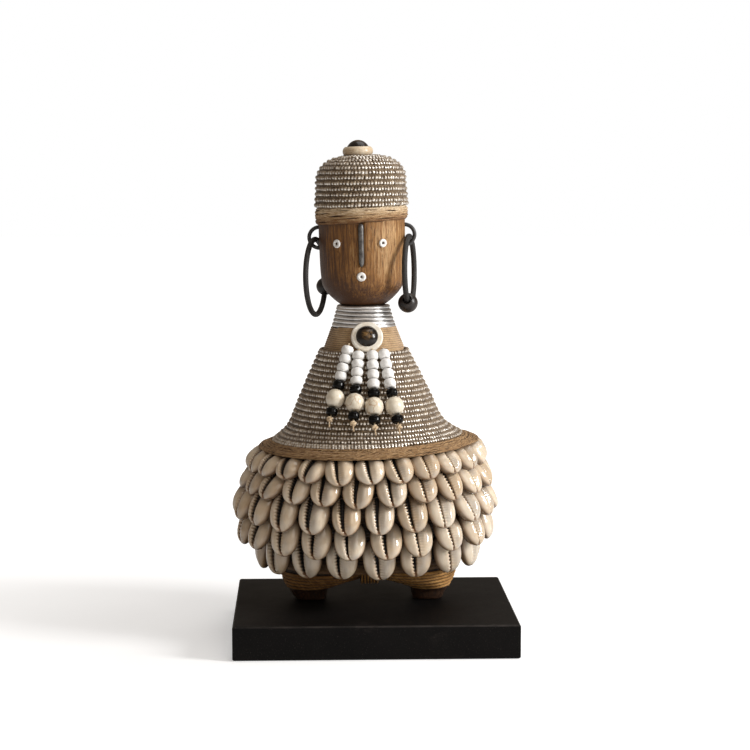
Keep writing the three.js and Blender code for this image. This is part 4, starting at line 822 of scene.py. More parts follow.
def super_ring(x, y, half_x, half_y, z, steps, power=2.0):
    """Points round an ellipse at one height; a power over 2 makes it squarer."""
    a = circle(steps)
    c, s = (np.sign(k) * np.abs(k) ** (2 / power) for k in (np.cos(a), np.sin(a)))
    return np.stack([x + half_x * c, y + half_y * s, np.full(steps, z)], -1)


# Height, half width, half depth and place in x of a foot's sections
FOOT = ((0.32, 7.9, 8.3, 31.9), (0.7, 8.3, 8.7, 32.0), (3.0, 9.3, 9.6, 32.5), (5.2, 10.1, 10.3, 33.0),
        (6.6, 10.8, 11.2, 33.2), (9.0, 11.0, 12.5, 33.0))


def feet():
    """The soles lie flat on the block, although the doll leans."""
    v, q, t = gather([skin([super_ring(side * x, 1.5, half, depth, z, 48, 3.4) for z, half, depth, x in FOOT])
                      for side in (-1, 1)])
    ground = (0.3 - v[:, 0] * math.sin(LEAN)) / math.cos(LEAN)
    v[:, 2] = np.where(v[:, 2] < 0.5, ground, np.where(v[:, 2] < 1, ground + 0.5, v[:, 2]))
    # The feet take a darker copy of the carved wood, painted as the shade under the skirt
    build("carved_feet", v, [q, t], FOOT_WOOD_IN_SHADE, "carved_wood", "carved_figure")


# Rows of shells from the top down. size is the solids' width, length and thickness, shown the scene's.
ROWS = (
    dict(count=24, radius=59.6, squash=0.95, height=79.35, tilt=50, upright=6, drop=1.1, phase=0.0,
         size=(14.4, 14, 5.4), shown=(16.0, 17.8, 9.0)),
    dict(count=22, radius=62.5, squash=0.90, height=68.4, tilt=37, phase=-0.36,
         size=(16.2, 19.4, 6.7), shown=(16.7, 21.4, 9.2)),
    dict(count=22, radius=65.9, squash=0.85, height=55.3, tilt=31, shift=-1.2, phase=0.34,
         size=(16.4, 21.5, 7.2), shown=(16.5, 22.4, 9.4)),
    dict(count=20, radius=64.3, squash=0.80, height=41.6, tilt=25, shift=-1.3, phase=0.48,
         size=(17, 21.5, 7.5), shown=(17.3, 22.4, 9.5)),
    dict(count=16, radius=56.9, squash=0.75, height=29.8, tilt=6, phase=0.23,
         size=(17.6, 21, 7.5), shown=(18.0, 22.0, 9.3)),
)
# Where the upper section of a solid shell lies, as a share of its length, and how full it is there
SHELL_LINE = (0.28, 0.92)


def skirt_levels():
    """Half widths in x and y of the skirt under the shells, and heights, from the top down."""
    backs = []
    share, roundness = SHELL_LINE
    for row in ROWS:
        lean = math.radians(row["tilt"])
        _, length, thick = row["size"]
        for up, back in ((length / 2, 0), (share * length, thick * (0.35 + 0.65 * roundness) / 2)):
            inset = up * math.sin(lean) + back * math.cos(lean) + 0.6
            height = row["height"] + up * math.cos(lean) - back * math.sin(lean)
            backs.append((row["radius"] - inset, row["radius"] * row["squash"] - inset, height))
    top, last = backs[0], backs[-1]
    return [(top[0], top[1], SKIRT_TOP), *backs[2:], (last[0] - 1.5, last[1] - 1, SKIRT_BOTTOM)]


def leg_core(side):
    rings = []
    for z in np.linspace(7.0, LEG_TOP, 14):
        x, y, a, b = leg_section(z, 1.5)
        rings.append(super_ring(side * x, y, a, b, z, 64))
    x, y, a, b = leg_section(LEG_TOP, 4.5)
    return skin([*rings, super_ring(side * x, y, a, b, 26.5, 64)])


def cores():
    """The wood under the windings: torso and neck, hat, skirt and legs, in a darker copy of the carved wood
    painted as the shade there.
    """
    trunk = np.concatenate([[[9.5, 165.0]], NECK_WIRE.core(1.9, 6), NECK_TWINE.core(1.2, 6),
                            TORSO.core(2.3, 60), [[48.5, 86.0]]])
    hat = np.concatenate([[[6.0, 243.0]], HAT.core(2.3, 40), [[22.5, 212.6]]])
    skirt = [super_ring(0, 0, x - 1.7, y - 1.7, z, 96) for x, y, z in [(48.6, 48.6, 86.4), *skirt_levels()]]
    v, q, t = gather([lathe(trunk, 128), lathe(hat, 128), skin(skirt[::-1]), leg_core(-1), leg_core(1)])
    build("carved_core", v, [q, t], CORE_WOOD_IN_SHADE, "carved_wood", "carved_figure")


def nose():
    tip = [(0.02, 0), (0.5, 0.15), (0.95, 0.9), (1.3, 1.9), (1.45, 3)]
    shaft = [(1.47, 190), (1.42, 197), (1.45, 204.6), (1.3, 206.2), (0.8, 206.7)]
    v, q, t = lathe([(r, NOSE_BOTTOM + up) for r, up in tip] + shaft, 28)
    v[:, :2] += 23.6 * np.array([math.sin(NOSE_TURN), -math.cos(NOSE_TURN)])
    build("nose_pin", v, [q, t], NOSE_IRON, "dark_iron", "nose_rod")


# Turn in degrees, height and tube radius of the rings on the face
FACE_BEADS = {"eye_left": (-36, 196.3, 0.82), "eye_right": (26, 196.3, 0.8), "mouth": (-3.4, 178.6, 0.98)}


def face_bead(name, az, z, tube):
    turn = math.radians(az)
    out = np.array([math.sin(turn), -math.cos(turn), 0.0])
    surface = out * HEAD_LINE.radius_at(z) + UP * z
    m = rotation_to(out)
    a = 2 * np.pi * (np.arange(14) + 0.5) / 14
    v, q, t = lathe(np.stack([1.48 + tube * np.cos(a), 0.85 * tube * np.sin(a)], -1), 36, closed=True)
    ring = v @ m.T + surface + out * (tube * 0.72)
    build(f"{name}_ring", ring, [q], WHITE_GLASS, "white_bead", f"{name}_bead")
    peg = [(0.3, -3.8), (0.42, -3.4), (0.46, 0.2), (0.55, tube * 0.9), (0.42, tube * 1.25),
           (0.15, tube * 1.4)]
    v, q, t = lathe(peg, 16)
    build(f"{name}_peg", v @ m.T + surface, [q, t], PIN, "brown_pin", f"{name}_pin")


head()
feet()
cores()
nose()
for name, place in FACE_BEADS.items():
    face_bead(name, *place)


# Raffia bands
FIBRE_HEIGHT, BAND_BACK = 0.95, 0.9


def raffia_band(name, mat, profile, strands, seed, steps, across, ragged=0.0, fade=0.0, slope=0.0):
    """A band of flat fibres laid round the doll. profile(share) gives (r, z, out_r, out_z) over the band."""
    rng = np.random.default_rng(seed)
    a = circle(steps)
    share = np.linspace(0, 1, across)
    surface = np.full((across, steps), -1.0)
    groove = np.ones((across, steps))
    for k in range(strands):
        middle = (k + 0.5) / strands + 0.35 / strands * wave(a, seed + 11 * k, high=9)
        half = 0.6 / strands * (1 + 0.35 * wave(a, seed + 11 * k + 3, high=18))
        e = np.abs(share[:, None] - middle) / half
        lift = np.sqrt(np.clip(1 - e**2, 0, 1)) * (0.85 + 0.35 * rng.random())
        surface = np.maximum(surface, lift * (1 + 0.18 * wave(a, seed + 11 * k + 5, high=30)))
        groove = np.minimum(groove, np.clip(e, 0, 1) ** 3)
    surface = np.clip(surface, 0, None) * np.clip(np.minimum(share, 1 - share)[:, None] * 9, 0.25, 1)
    r, z, nr, nz = (np.array(x)[:, None] for x in zip(*(profile(s) for s in share)))
    frayed = ragged * wave(a, seed + 91, high=14) * (1 - share[:, None]) ** 2
    back = slice(None, None, -8)
    ones = np.ones(steps)
    r_all = np.concatenate([r + nr * (surface * FIBRE_HEIGHT), (r - nr * BAND_BACK)[back] * ones])
    z_all = np.concatenate([z + nz * (surface * FIBRE_HEIGHT) + frayed, (z - nz * BAND_BACK)[back] * ones])
    rows = len(r_all)
    x_all = r_all * np.cos(a)
    z_all = z_all + slope * x_all * (1 - np.concatenate([share, share[back]])[:, None])
    verts = np.stack([x_all, r_all * np.sin(a), z_all], -1).reshape(-1, 3)
    width = float(np.hypot(np.ptp(r), np.ptp(z)))
    over = np.concatenate([share, np.linspace(1, 0, rows - across)])[:, None] * width * ones
    run = np.broadcast_to(a * float(r.mean()), (rows, steps))
    lay = np.stack([run, over, np.zeros_like(run)], -1).reshape(-1, 3)
    # rim: painted shade in the grooves between strands and on the band's back
    rim = np.concatenate([groove, np.ones((rows - across, steps))])
    tint = np.concatenate([2 * share - 1, np.full(rows - across, -1.0)])[:, None] * fade * ones
    faces = oriented(verts, grid_faces(rows, steps, close_rows=True))
    build(name, verts, faces, mat, "raffia", f"{name}_band", lay=lay, rim=rim.ravel(), tint=tint.ravel())


def hat_band_profile(s):
    return 23.8 + 0.35 * math.sin(math.pi * s), 207.2 + 8.3 * s, 1.0, 0.0


def hem_band_profile(s):
    """From the beads' lower edge out to the rim and round under it."""
    rim = 0.72
    if s < rim:
        k = s / rim
        return 50.4 + 7.4 * k, 90.1 - 3.2 * k - 0.3 * math.sin(math.pi * k), 0.35, 0.94
    k = (s - rim) / (1 - rim)
    turn = math.radians(70 - 130 * k)
    out_r, out_z = math.cos(turn), math.sin(turn)
    return 57.5 + 0.5 * out_r, 86.35 + 0.55 * out_z - 0.4 * k, out_r, out_z


raffia_band("hat_raffia", HAT_RAFFIA, hat_band_profile, strands=6, seed=41, steps=360, across=40, ragged=0.5,
            fade=1.6, slope=0.05)
raffia_band("hem_raffia", HEM_RAFFIA, hem_band_profile, strands=10, seed=77, steps=720, across=72)


# Legs
def rope_valley(lay, sides, lobes):
    """How deep each point of a rope lies between two turns or two strands."""
    strand = 1 - np.abs(np.cos(0.5 * lobes * np.arctan2(lay[:, 1], lay[:, 0])))
    return np.maximum(between_turns(len(lay), sides), 0.12 * strand**2)


def leg_rope(side, bottom, name):
    pitch, d, sides = 2.2, 2.1, 14
    turns = (LEG_TOP - bottom - d) / pitch
    t = np.linspace(0, turns, int(turns * 260))
    z = bottom + d / 2 + pitch * t
    x, y, a, b = leg_section(z)
    turn = 2 * np.pi * t
    a, b = a - d / 2, b - d / 2
    path = np.stack([side * x + a * np.cos(turn), y + b * np.sin(turn), z], -1)
    out = unit(np.stack([np.cos(turn) / a, np.sin(turn) / b, np.zeros_like(t)], -1))
    path, out = even(path, out, step=0.42)
    v, q, t, lay = sweep(path, *frames_from(path, out), d / 2 * 1.06, sides, lay_turns=0.16, lobes=3,
                         lobe_depth=0.14)
    # Painted shade and light: the tint makes the left rope darker and the right one lighter; rim paints shade
    # between turns and strands
    build(f"{name}_turns", v, [q, t], ROPE, "rope", name, lay=lay, tint=0.7 * side - 0.3,
          rim=rope_valley(lay, sides, 3))


def lashing():
    """Six cords from leg to leg, side by side."""
    under, lift, cords, width, sides = 12.3, 0.75, 6, 10, 8
    line = Outline([(-19, 19.4), (-18.6, 14.7), (-14, under), (0, under - 0.1), (14, under), (18.6, 14.7),
                    (19, 19.4)])
    y, z, ty, tz = line.at(np.linspace(0, line.length, 120))
    first = np.stack([0 * y, tz, -ty], -1)
    second = np.tile([1.0, 0, 0], (len(y), 1))
    parts = []
    for i in range(cords):
        x = np.full_like(y, -width / 2 + (i + 0.5) * width / cords)
        path = np.stack([x, y + tz * lift, z - ty * lift], -1)
        parts.append(sweep(path, first, second, 0.84, sides, lay_turns=0.3, lobes=3, lobe_depth=0.22,
                           phase=i))
    v, q, t, lay = gather(parts)
    # Painted shade: a tint of -0.2 darkens the cords under the skirt; rim paints shade between turns and
    # strands
    build("leg_lashing_cords", v, [q, t], ROPE, "rope", "leg_lashing", lay=lay, tint=-0.2,
          rim=np.tile(rope_valley(parts[0][3], sides, 3), cords))


leg_rope(-1, LEG_BOTTOM, "leg_rope_left")
leg_rope(1, 4.6, "leg_rope_right")
lashing()


# Skirt
def skirt_twine():
    steps, pitch = 200, 1.9
    levels = np.array(skirt_levels())
    z = np.linspace(SKIRT_TOP, SKIRT_BOTTOM, 260)
    x, y = at_run(-z, -levels[:, 2], levels[:, :2]).T
    ridge = 0.35 * (np.abs(np.sin(np.pi * z / pitch)) - 1)
    rings = [super_ring(0, 0, x[k] + ridge[k], y[k] + ridge[k], z[k], steps) for k in range(len(z))]
    rings += [super_ring(0, 0, x[k] - 1.3, y[k] - 1.3, z[k], steps) for k in (-1, 0)]
    verts = np.concatenate(rings)
    heights = np.repeat(np.concatenate([z, z[[-1, 0]]]), steps)
    lay = np.stack([heights * 2.2, heights * 3.1, np.tile(circle(steps) * 60, len(rings))], -1)
    faces = oriented(verts, grid_faces(len(rings), steps, close_rows=True))
    # Very dark, partly own colour and partly painted shade under the shells; the tint makes it lighter
    # towards its bottom
    build("skirt_twine", verts, faces, DARK_AND_SHADED_SKIRT_TWINE, "dark_twine", "skirt_twine_wrap", lay=lay,
          tint=2.6 * (1 - share_up(verts[:, 2], 21, 27)))


def ellipse_places(rx, ry, count, phase):
    """Points at even distances round an ellipse, and the outward directions there."""
    def at(angle):
        return np.stack([rx * np.sin(angle), -ry * np.cos(angle), np.zeros_like(angle)], -1)

    a = np.linspace(0, 2 * np.pi, 5761)
    run = run_along(at(a))
    angle = np.interp(((np.arange(count) + phase) / count + 1) % 1 * run[-1], run, a)
    return at(angle), unit(np.stack([np.sin(angle) / rx, -np.cos(angle) / ry, np.zeros(count)], -1))


def shell_template(seed):
    """A cowrie, slit side towards +Y, x to the viewer's right, z up; width, length and thickness are 1."""
    rng = np.random.default_rng(seed)
    ends = np.linspace(0.16, 1, 8)[:-1] ** 1.7
    q = np.concatenate([-1 + 0.12 * ends, np.linspace(-0.88, 0.84, 66), 1 - 0.16 * ends[::-1]])
    rise = q + 1
    teeth = (0.5 + 0.5 * np.cos(2 * np.pi * (6.4 * q + 0.4 * q**2 + rng.random()))) ** 1.4
    half = 0.5 * (1 - np.abs(q) ** np.where(q < 0, 2.5, 2.4)) ** 0.5 * (1 + 0.03 * q)
    sway = 0.014 * np.sin(3.2 * q + rng.uniform(-1, 1)) + rng.normal(0, 0.014)
    ribs = rng.uniform(0.5, 1.6)
    slit = (-0.03 - 0.085 * rise + 0.018 * rise**2 + sway) * np.clip(half / 0.3, 0, 1)
    gap = np.minimum((0.036 + 0.026 * rise) * rng.uniform(0.65, 1.15), 0.26 * half)
    high = 0.6 * (1 - np.abs(q) ** 2.2) ** 0.5
    low = 0.36 * (1 - np.abs(q) ** 3.2) ** 0.5
    near_slit = np.array([-2.4, -1.7, -1.3, -1.05, -0.85, -0.6, 0, 0.6, 0.85, 1.05, 1.3, 1.7, 2.4])
    back_share = np.linspace(1, -1, 9)[1:-1]
    step = np.linspace(0, 1, 12)[:-1]
    spread = 0.5 * step + 0.5 * (1 - np.cos(step * np.pi / 2))
    rings, values = [], []
    for k, w, s, g, tooth, top, bottom in zip(q, half, slit, gap, teeth, high, low):
        left = -w + (s - 2.4 * g + w) * spread
        right = w - (w - s - 2.4 * g) * spread
        x = np.concatenate([left, s + near_slit * g, right[::-1]])
        u = np.clip(np.abs(x) / w, 0, 1)
        away = x - s
        on_left = away < 0
        reach = g * np.where(on_left, 1.15 - 0.6 * tooth, 1.0 - 0.12 * tooth)
        deep = 1 / (1 + (np.abs(away) / reach) ** 8)
        d = np.maximum(np.abs(away) - g, 0)
        roll = np.where(on_left, 0.22 * bell(d, 0, 0.06), 0.42 * bell(d, 0, 0.15))
        rib = 0.5 + 0.5 * np.cos(2 * np.pi * (7.6 * k + 1.6 * away + 6.0 * away**2))
        comb = np.where(on_left, 0.055 * tooth * np.exp(-d / 0.07), 0.075 * ribs * rib * np.exp(-d / 0.12))
        y = top * np.sqrt(np.clip(1 - u**2.1, 0, 1)) * (1 - roll) + top * comb * (1 - u**4)
        y -= deep * (0.75 * y + 0.05) * (0.35 + 0.65 * np.clip((k + 0.95) / 0.35, 0, 1))
        end = np.clip((np.abs(k) - 0.8) / 0.2, 0, 1)
        z = k / 2 - np.sign(k) * 0.05 * end * bell(away, 0, 1.8 * g + 1e-6)
        # Notches between teeth and ribs join the slit attribute and are painted dark as the shade in those
        # grooves
        notch = np.where(on_left, 0.18 * (1 - tooth) * np.exp(-d / 0.05),
                         0.15 * ribs * (1 - rib) * np.exp(-d / 0.09))
        lip = 0.5 + 0.5 * np.clip(away / 0.7, -1, 1)
        # rim is 1 at the sides and ends, where the material paints brown and shade
        rim = np.maximum(np.clip((u - 0.72) / 0.28, 0, 1), end**2) ** 1.5
        back_y = -bottom * np.clip(1 - np.abs(back_share) ** 4, 0, 1) ** 0.5
        back = np.ones_like(back_share)
        back_points = np.stack([back_share * w, back_y, back * k / 2], -1)
        rings.append(np.concatenate([np.stack([x, y, z], -1), back_points]))
        pairs = ((np.maximum(deep, notch), 0), (lip, 0.5), (rim, 1), (0 * x + (k + 1) / 2, (k + 1) / 2))
        values.append([np.concatenate([front, back * behind]) for front, behind in pairs])
    v, quads, t = skin(rings)
    tips = ((0, 0), (0.5, 0.5), (1, 1), (0, 1))
    attributes = [np.concatenate([*rows, tip]) for rows, tip in zip(zip(*values), tips)]
    lay = np.stack([v[:, 2] * 20, v[:, 0] * 16, np.full(len(v), seed * 3.7)], -1)
    lay[-2:] = 0
    return v, quads, t, *attributes, lay


TEMPLATES = [shell_template(k) for k in range(7)]


def cowrie_row(index, row):
    count = row["count"]
    lean = math.radians(row["tilt"] - row.get("upright", 0))
    place, out = ellipse_places(row["radius"], row["radius"] * row["squash"], count, row["phase"])
    width, length, thick = row["shown"]
    raised = (length - row["size"][1]) / 2 * 0.8 - row.get("drop", 0.0)
    middle = np.array([row.get("shift", 0.0), 0, row["height"]])
    parts = []
    for i in range(count):
        tilt = lean + RNG.normal(0, 0.065)
        up = UP * math.cos(tilt) - out[i] * math.sin(tilt)
        slit_side = UP * math.sin(tilt) + out[i] * math.cos(tilt)
        right = np.cross(up, slit_side)
        roll = RNG.normal(0, 0.11)
        c, s = math.cos(roll), math.sin(roll)
        right, up = right * c + up * s, up * c - right * s
        v, q, t, *attributes, lay = TEMPLATES[RNG.integers(len(TEMPLATES))]
        local = v * np.array([width, thick, length]) * RNG.normal(1, [0.028, 0.05, 0.03])
        centre = place[i] + middle + up * raised + right * RNG.normal(0, 0.25)
        world = centre + local[:, :1] * right + local[:, 1:2] * slit_side + local[:, 2:] * up
        tint = np.full(len(v), RNG.beta(2.2, 1.8))
        parts.append((world, q[:, ::-1], t[:, ::-1], *attributes, lay + np.array([0, 0, i * 5.3]), tint))
    v, q, t, slit, lip, rim, tuck, lay, tint = gather(parts)
    build(f"cowrie_shells_{index}", v, oriented(v, q, t), SHELL, "cowrie", f"cowrie_row_{index}", slit=slit,
          lip=lip, rim=rim, tuck=tuck, lay=lay, tint=tint)


skirt_twine()
for index, row in enumerate(ROWS, 1):
    cowrie_row(index, row)


# Discs and domes
def disc_profile(radius, thick, sunk):
    middle, half = (thick - sunk) / 2, (thick + sunk) / 2
    edge = [(radius - 0.8 * half + 0.8 * half * math.cos(k), middle + half * math.sin(k))
            for k in np.linspace(-np.pi / 2, np.pi / 2, 14)]
    return [(0.2, -sunk), *edge, (0.2, thick)]


def dome_profile(radius, height):
    ball = (radius**2 + height**2) / (2 * height)
    angle = np.linspace(math.asin(min(1, radius / ball)), 0.02, 20)
    cap = [(ball * math.sin(a), height - ball * (1 - math.cos(a))) for a in angle]
    return [(0.2, 0.0), (radius - 0.3, 0.0), *cap]


def disc_and_dome(name, centre, out, disc_size, dome_size, dome_lift, bone):
    m = rotation_to(out)
    v, q, t = lathe(disc_profile(*disc_size), 72)
    build(f"{name}_bone", v @ m.T + centre, [q, t], bone, "bone", f"{name}_disc")
    v, q, t = lathe(dome_profile(*dome_size), 64)
    rim = np.hypot(v[:, 0], v[:, 1]) / dome_size[0]
    build(f"{name}_cabochon", v @ m.T + centre + out * dome_lift, [q, t], DOME, "dark_glass", f"{name}_dome",
          rim=rim)


def brooch():
    """It lies on the line from the neck twine down to the torso's top edge."""
    high = np.array([0, -17.4, 152.4])
    low = np.array([0, -TORSO.at(1.1)[0], TORSO_TOP[1] - 0.55])
    along = unit(low - high)
    out = np.array([0, along[2], -along[1]])
    centre = high + (low - high) * (high[2] - 145.7) / (high[2] - low[2]) + out * 0.3
    centre[0] = 1.0
    disc_and_dome("brooch", centre, out, (8.65, 2.4, 0.0), (5.9, 3.4), 2.6, BROOCH_BONE)


disc_and_dome("hat", np.array([-1.3, 0, 243.5]), UP, (8.25, 4.2, 1.0), (5.8, 3.7), 4.05, HAT_BONE)
brooch()


# Ear loops and hoops
EARS = {
    "left": dict(side=-1, height=199.0, fore=3.0, radius=20.4, turn=15.5, bead=4.9, bead_turn=72),
    "right": dict(side=1, height=199.9, fore=-3.0, radius=18.7, turn=11, bead=5.35, bead_turn=-26),
}
EAR_TUBE, EAR_REACH, HOOP_TUBE, LINK_DROP, LINK_GAP = 1.05, 23.1, 1.5, 0.97, 0.35


def ear_centre(ear):
    turn = math.asin(ear["fore"] / HEAD_R)
    return np.array([ear["side"] * EAR_REACH * math.cos(turn), ear["fore"], ear["height"]])


def hoop_frame(ear):
    """Middle of the hoop, its rearward and its sideways direction."""
    turn = math.radians(ear["turn"])
    rear = np.array([math.sin(turn), math.cos(turn), 0.0])
    normal = np.array([math.cos(turn), -math.sin(turn), 0.0])
    x = (ear["side"] * (HEAD_R + HOOP_TUBE + 0.5) + ear["fore"] * math.sin(turn)) / math.cos(turn)
    return np.array([x, ear["fore"], ear["height"] - LINK_DROP - ear["radius"]]), rear, normal


def ear_loop(name, ear):
    centre = ear_centre(ear)
    reach = abs(hoop_frame(ear)[0][0] - centre[0])
    radius = math.hypot(reach, LINK_DROP) + LINK_GAP + HOOP_TUBE + EAR_TUBE
    a = np.linspace(np.pi / 2, -np.pi / 2, 49)
    arc = centre + radius * np.stack([ear["side"] * np.cos(a), np.zeros_like(a), np.sin(a)], -1)
    lead = np.linspace(3.2, 0.2, 8)[:, None] * np.array([-ear["side"], 0, 0.0])
    path = np.concatenate([arc[0] + lead, arc, (arc[-1] + lead)[::-1]])
    v, q, t, _ = sweep(path, *frames_from(path, (0, 1, 0)), EAR_TUBE, 16)
    build(f"ear_wire_{name}", v, [q, t], EAR_IRON, "dark_iron", f"ear_loop_{name}")


def hoop(name, ear):
    middle, rear, normal = hoop_frame(ear)
    a = circle(220)
    spoke = np.sin(a)[:, None] * rear - np.cos(a)[:, None] * UP
    thick = HOOP_TUBE * (1 + 0.015 * wave(a, 5 + ear["side"]))
    line = middle + ear["radius"] * spoke
    v, q, t, lay = sweep(line, spoke, np.tile(normal, (len(a), 1)), thick, 18, closed=True)
    lay[:, 2] *= 0.35
    build(f"hoop_ring_{name}", v, [q, t], HOOP, "black_rubber", f"hoop_{name}", f"hoop_{name}", lay=lay)


def hoop_bead(name, ear):
    """A ball whose bore follows the hoop, with its middle on the hoop's line."""
    middle, rear, _ = hoop_frame(ear)
    turn = math.radians(ear["bead_turn"])
    radius, bead = ear["radius"], ear["bead"]
    point = middle + radius * (rear * math.sin(turn) - UP * math.cos(turn))
    along = rear * math.cos(turn) + UP * math.sin(turn)
    hole = math.asin((HOOP_TUBE + bead**2 / (2 * radius) + 0.25) / bead)
    p = np.linspace(hole, np.pi - hole, 28)
    outer = bead * np.stack([np.sin(p), np.cos(p)], -1)
    inner = outer[[-1, 0]] + np.array([(-0.25, 0.3), (-0.25, -0.3)])
    v, q, _ = lathe(np.concatenate([outer, inner]), 48, closed=True)
    ball = v @ rotation_to(along).T + point
    build(f"hoop_ball_{name}", ball, [q], HOOP_BEAD, "dark_glass", f"hoop_bead_{name}", f"bead_{name}")


for name, ear in EARS.items():
    ear_loop(name, ear)
    hoop(name, ear)
    hoop_bead(name, ear)


# Strands; first and howlite are the places in x and z of the first white bead and the stone
STRANDS = (
    dict(first=(-9.7, 139.9), howlite=(-16.7, 116.1), bead=5.0, veins=0.10),
    dict(first=(-4.0, 137.1), howlite=(-6.7, 113.6), bead=4.8, veins=0.75),
    dict(first=(3.5, 136.9), howlite=(3.4, 111.2), bead=5.4, veins=0.85),
    dict(first=(9.7, 137.3), howlite=(14.3, 110.9), bead=5.6, veins=0.08),
)
WHITE_R, BLACK_R, BLACK_H, HOWLITE_R, GAP, THREAD_LEAD, TAIL = 3.3, 3.25, 4.6, 4.95, 0.3, 1.4, 4.2
WHITE_BEADS = 4


def strand_line(first, howlite):
    """Middle of the first bead and the direction of a strand that lies on the torso."""
    def on_torso(x, z, thick):
        _, _, _, tz = TORSO.at(TORSO.length / 3)
        r = TORSO.radius_at(min(z, TORSO_TOP[1])) + thick / abs(tz)
        return np.array([x, -math.sqrt(r * r - x * x), z])

    top = on_torso(*first, WHITE_R + GAP)
    return top, unit(on_torso(*howlite, HOWLITE_R + GAP) - top)


def barrel(radius, height, seed, bore=0.8, power=3.2, bumps=0.02, steps=28):
    """A hand-made round or barrel bead, closed round its bore, middle at the origin."""
    a = np.linspace(-1, 1, 19)
    r = bore + (radius - bore) * (1 - np.abs(a) ** power) ** (1 / power)
    inside = [[bore, height / 2 * 0.6], [bore, -height / 2 * 0.6]]
    profile = np.concatenate([np.stack([r, a * height / 2], -1), inside])
    v, q, _ = lathe(profile, steps, closed=True)
    turn = np.arctan2(v[:, 1], v[:, 0])
    outside = np.hypot(v[:, 0], v[:, 1]) > bore * 1.2
    swell = 1 + bumps * wave(turn + v[:, 2] * 0.35, seed, high=7) * outside
    v[:, :2] *= swell[:, None]
    v[:, 2] += bumps * height * 0.8 * wave(turn, seed + 1, high=4) * outside
    return v, q


def strand(n, first, howlite, bead, veins):
    """Thread with four white barrels, a black bead, a stone, a black bead and a knot with a tail."""
    body = f"strand_{n}"
    top, down = strand_line(first, howlite)
    m = rotation_to(down)
    rng = np.random.default_rng(99 + n)
    upper = (WHITE_BEADS - 0.5) * bead + GAP + BLACK_H / 2
    stone = upper + BLACK_H / 2 + GAP + HOWLITE_R
    lower = stone + HOWLITE_R + GAP + BLACK_H / 2
    knot = lower + BLACK_H / 2 + GAP + 1.7

    def at(distance):
        return top + down * distance

    parts = []
    for k in range(WHITE_BEADS):
        radius, height = WHITE_R * rng.uniform(0.94, 1.0), bead * rng.uniform(0.96, 1.0)
        v, q = barrel(radius, height, 10 * n + k, power=2.5, bumps=0.035)
        lean = rotation_to(down + rng.normal(0, 0.035, 3))
        parts.append((v @ lean.T + at(k * bead), q, ()))
    v, q, _ = gather(parts)
    beads = [build(f"white_barrels_{n}", v, [q], WHITE_GLASS, "white_bead", f"white_beads_{n}", body)]
    for label, place, seed in (("upper", upper, 50), ("lower", lower, 60)):
        radius, height = BLACK_R * rng.uniform(0.94, 1.0), BLACK_H * rng.uniform(0.94, 1.0)
        v, q = barrel(radius, height, seed + n, power=2.9, bumps=0.05)
        beads.append(build(f"black_barrel_{label}_{n}", v @ m.T + at(place), [q], BLACK_GLASS, "black_glass",
                           f"black_bead_{label}_{n}", body))
    v, q = barrel(HOWLITE_R, 2 * HOWLITE_R, 70 + n, power=2.0, bumps=0.004, steps=56)
    beads.append(build(f"howlite_ball_{n}", v @ m.T + at(stone), [q], HOWLITE, "howlite",
                       f"howlite_bead_{n}", body, tint=veins))

    start = -bead / 2 - THREAD_LEAD
    s = np.linspace(0, knot + TAIL - start, 90)
    bend = np.clip((s - (knot - start)) / TAIL, 0, 1)
    sway = np.array([rng.uniform(-0.9, 0.9), -0.3, 0.0])
    path = at(start) + down * s[:, None] + sway * (bend**1.5)[:, None]
    v, q, t, lay = sweep(path, *frames_from(path, (1, 0, 0)), 0.45, 8, lay_turns=0.45, lobes=2,
                         lobe_depth=0.25)
    thread = build(f"thread_{n}", v, [q, t], THREAD, "twine", f"strand_thread_{n}", body, lay=lay, tint=0)
    tie = thread_knot(n, m, at(knot - 0.15), body)
    line = [list(map(float, p)) for p in to_row(path)]


def thread_knot(n, turned, centre, body):
    """The thread wound as a trefoil."""
    a = circle(120)
    r = 1.0 + 0.42 * np.cos(3 * a)
    core = np.stack([r * np.cos(2 * a), r * np.sin(2 * a), 0.85 * np.sin(3 * a)], -1) * 0.9 @ turned.T
    path = core + centre
    tangent = unit(np.roll(path, -1, 0) - np.roll(path, 1, 0))
    first = square_to(path - centre, tangent)
    v, q, t, lay = sweep(path, first, np.cross(tangent, first), 0.6, 8, lay_turns=0.4, closed=True)
    return build(f"knot_{n}", v, [q, t], THREAD, "twine", body=body, lay=lay, tint=0)


for n, made in enumerate(STRANDS, 1):
    strand(n, **made)


# Block and screws
for node, mat in (("base_block", BLOCK), ("base_screw_left", STEEL), ("base_screw_right", STEEL)):
    for material_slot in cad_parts[node].material_slots:
        material_slot.material = mat


# Stage
RAYS = ("Is Camera Ray", "Is Transmission Ray", "Is Glossy Ray")


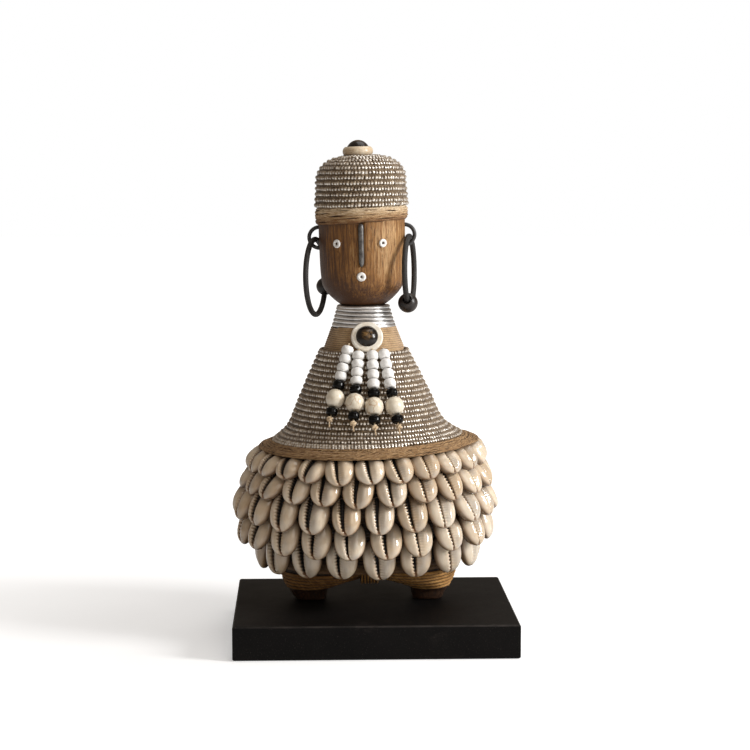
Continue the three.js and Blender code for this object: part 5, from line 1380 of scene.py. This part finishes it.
def pale_floor():
    """White to the camera; near the object a little of the lamps' light and shadow shows."""
    m = Material("pale_floor")
    to_camera, through, glossy = m.node("LightPath", out=RAYS)
    seen = m.math("MAXIMUM", m.math("MAXIMUM", to_camera, through), glossy * 0.35)
    away = m.node("VectorMath", out=1, props={"operation": "LENGTH"}, i0=m.node("TexCoord", out=3))
    ground = m.ramp(away, (0.14, 0.42), (0.6, 1.0))
    colour = m.ramp(m.noise(m.coords(9), detail=3), (0.3, 0.80), (0.7, 0.82))
    m.finish(colour, 0.9, specular=0.1, Emission_Color=(1.0, 1.0, 1.0), Emission_Strength=seen * ground)
    reach, under = 6, -0.0002
    mesh = bpy.data.meshes.new("floor")
    corners = [(x * reach, y * reach, under) for x, y in ((-1, -1), (1, -1), (1, 1), (-1, 1))]
    mesh.from_pydata(corners, [], [(0, 1, 2, 3)])
    mesh.materials.append(m.mat)
    floor = bpy.data.objects.new("floor", mesh)
    bpy.context.scene.collection.objects.link(floor)


def studio_world():
    """White to the camera, dim and warm on the object."""
    world = bpy.data.worlds.new("studio")
    bpy.context.scene.world = world
    w = Nodes(world)
    to_camera, through, glossy = w.node("LightPath", out=RAYS)
    seen = w.math("MAXIMUM", to_camera, through)
    tone = w.mix(seen, (1.0, 0.84, 0.69), (1.0, 1.0, 1.0))
    shown = w.node("Math", props={"operation": "MULTIPLY_ADD"}, i0=glossy, i1=0.22, i2=seen)
    strength = w.node("MapRange", i0=shown, i3=0.15, i4=1.0)
    w.end("OutputWorld", w.node("Background", i0=tone, i1=strength))


def lamp(name, place, target, size, power, colour=(1, 1, 1)):
    data = bpy.data.lights.new(name, "AREA")
    data.shape = "RECTANGLE"
    data.size, data.size_y = size
    data.energy = power
    data.color = colour
    obj = bpy.data.objects.new(name, data)
    bpy.context.scene.collection.objects.link(obj)
    obj.location = place
    obj.rotation_euler = (Vector(target) - Vector(place)).to_track_quat("-Z", "Y").to_euler()


pale_floor()
studio_world()
lamp("key", place=(1.12, -0.45, 0.62), target=(0, 0, 0.15), size=(0.36, 0.5), power=16.8)
lamp("fill", place=(0.25, -1.15, 0.85), target=(0, 0, 0.14), size=(0.8, 0.8), power=3.2,
     colour=(1.0, 0.93, 0.86))
lamp("top", place=(0.3, 0.1, 1.15), target=(0, 0.02, 0.1), size=(0.8, 0.8), power=4.5)

bpy.context.scene.view_settings.view_transform = "Standard"
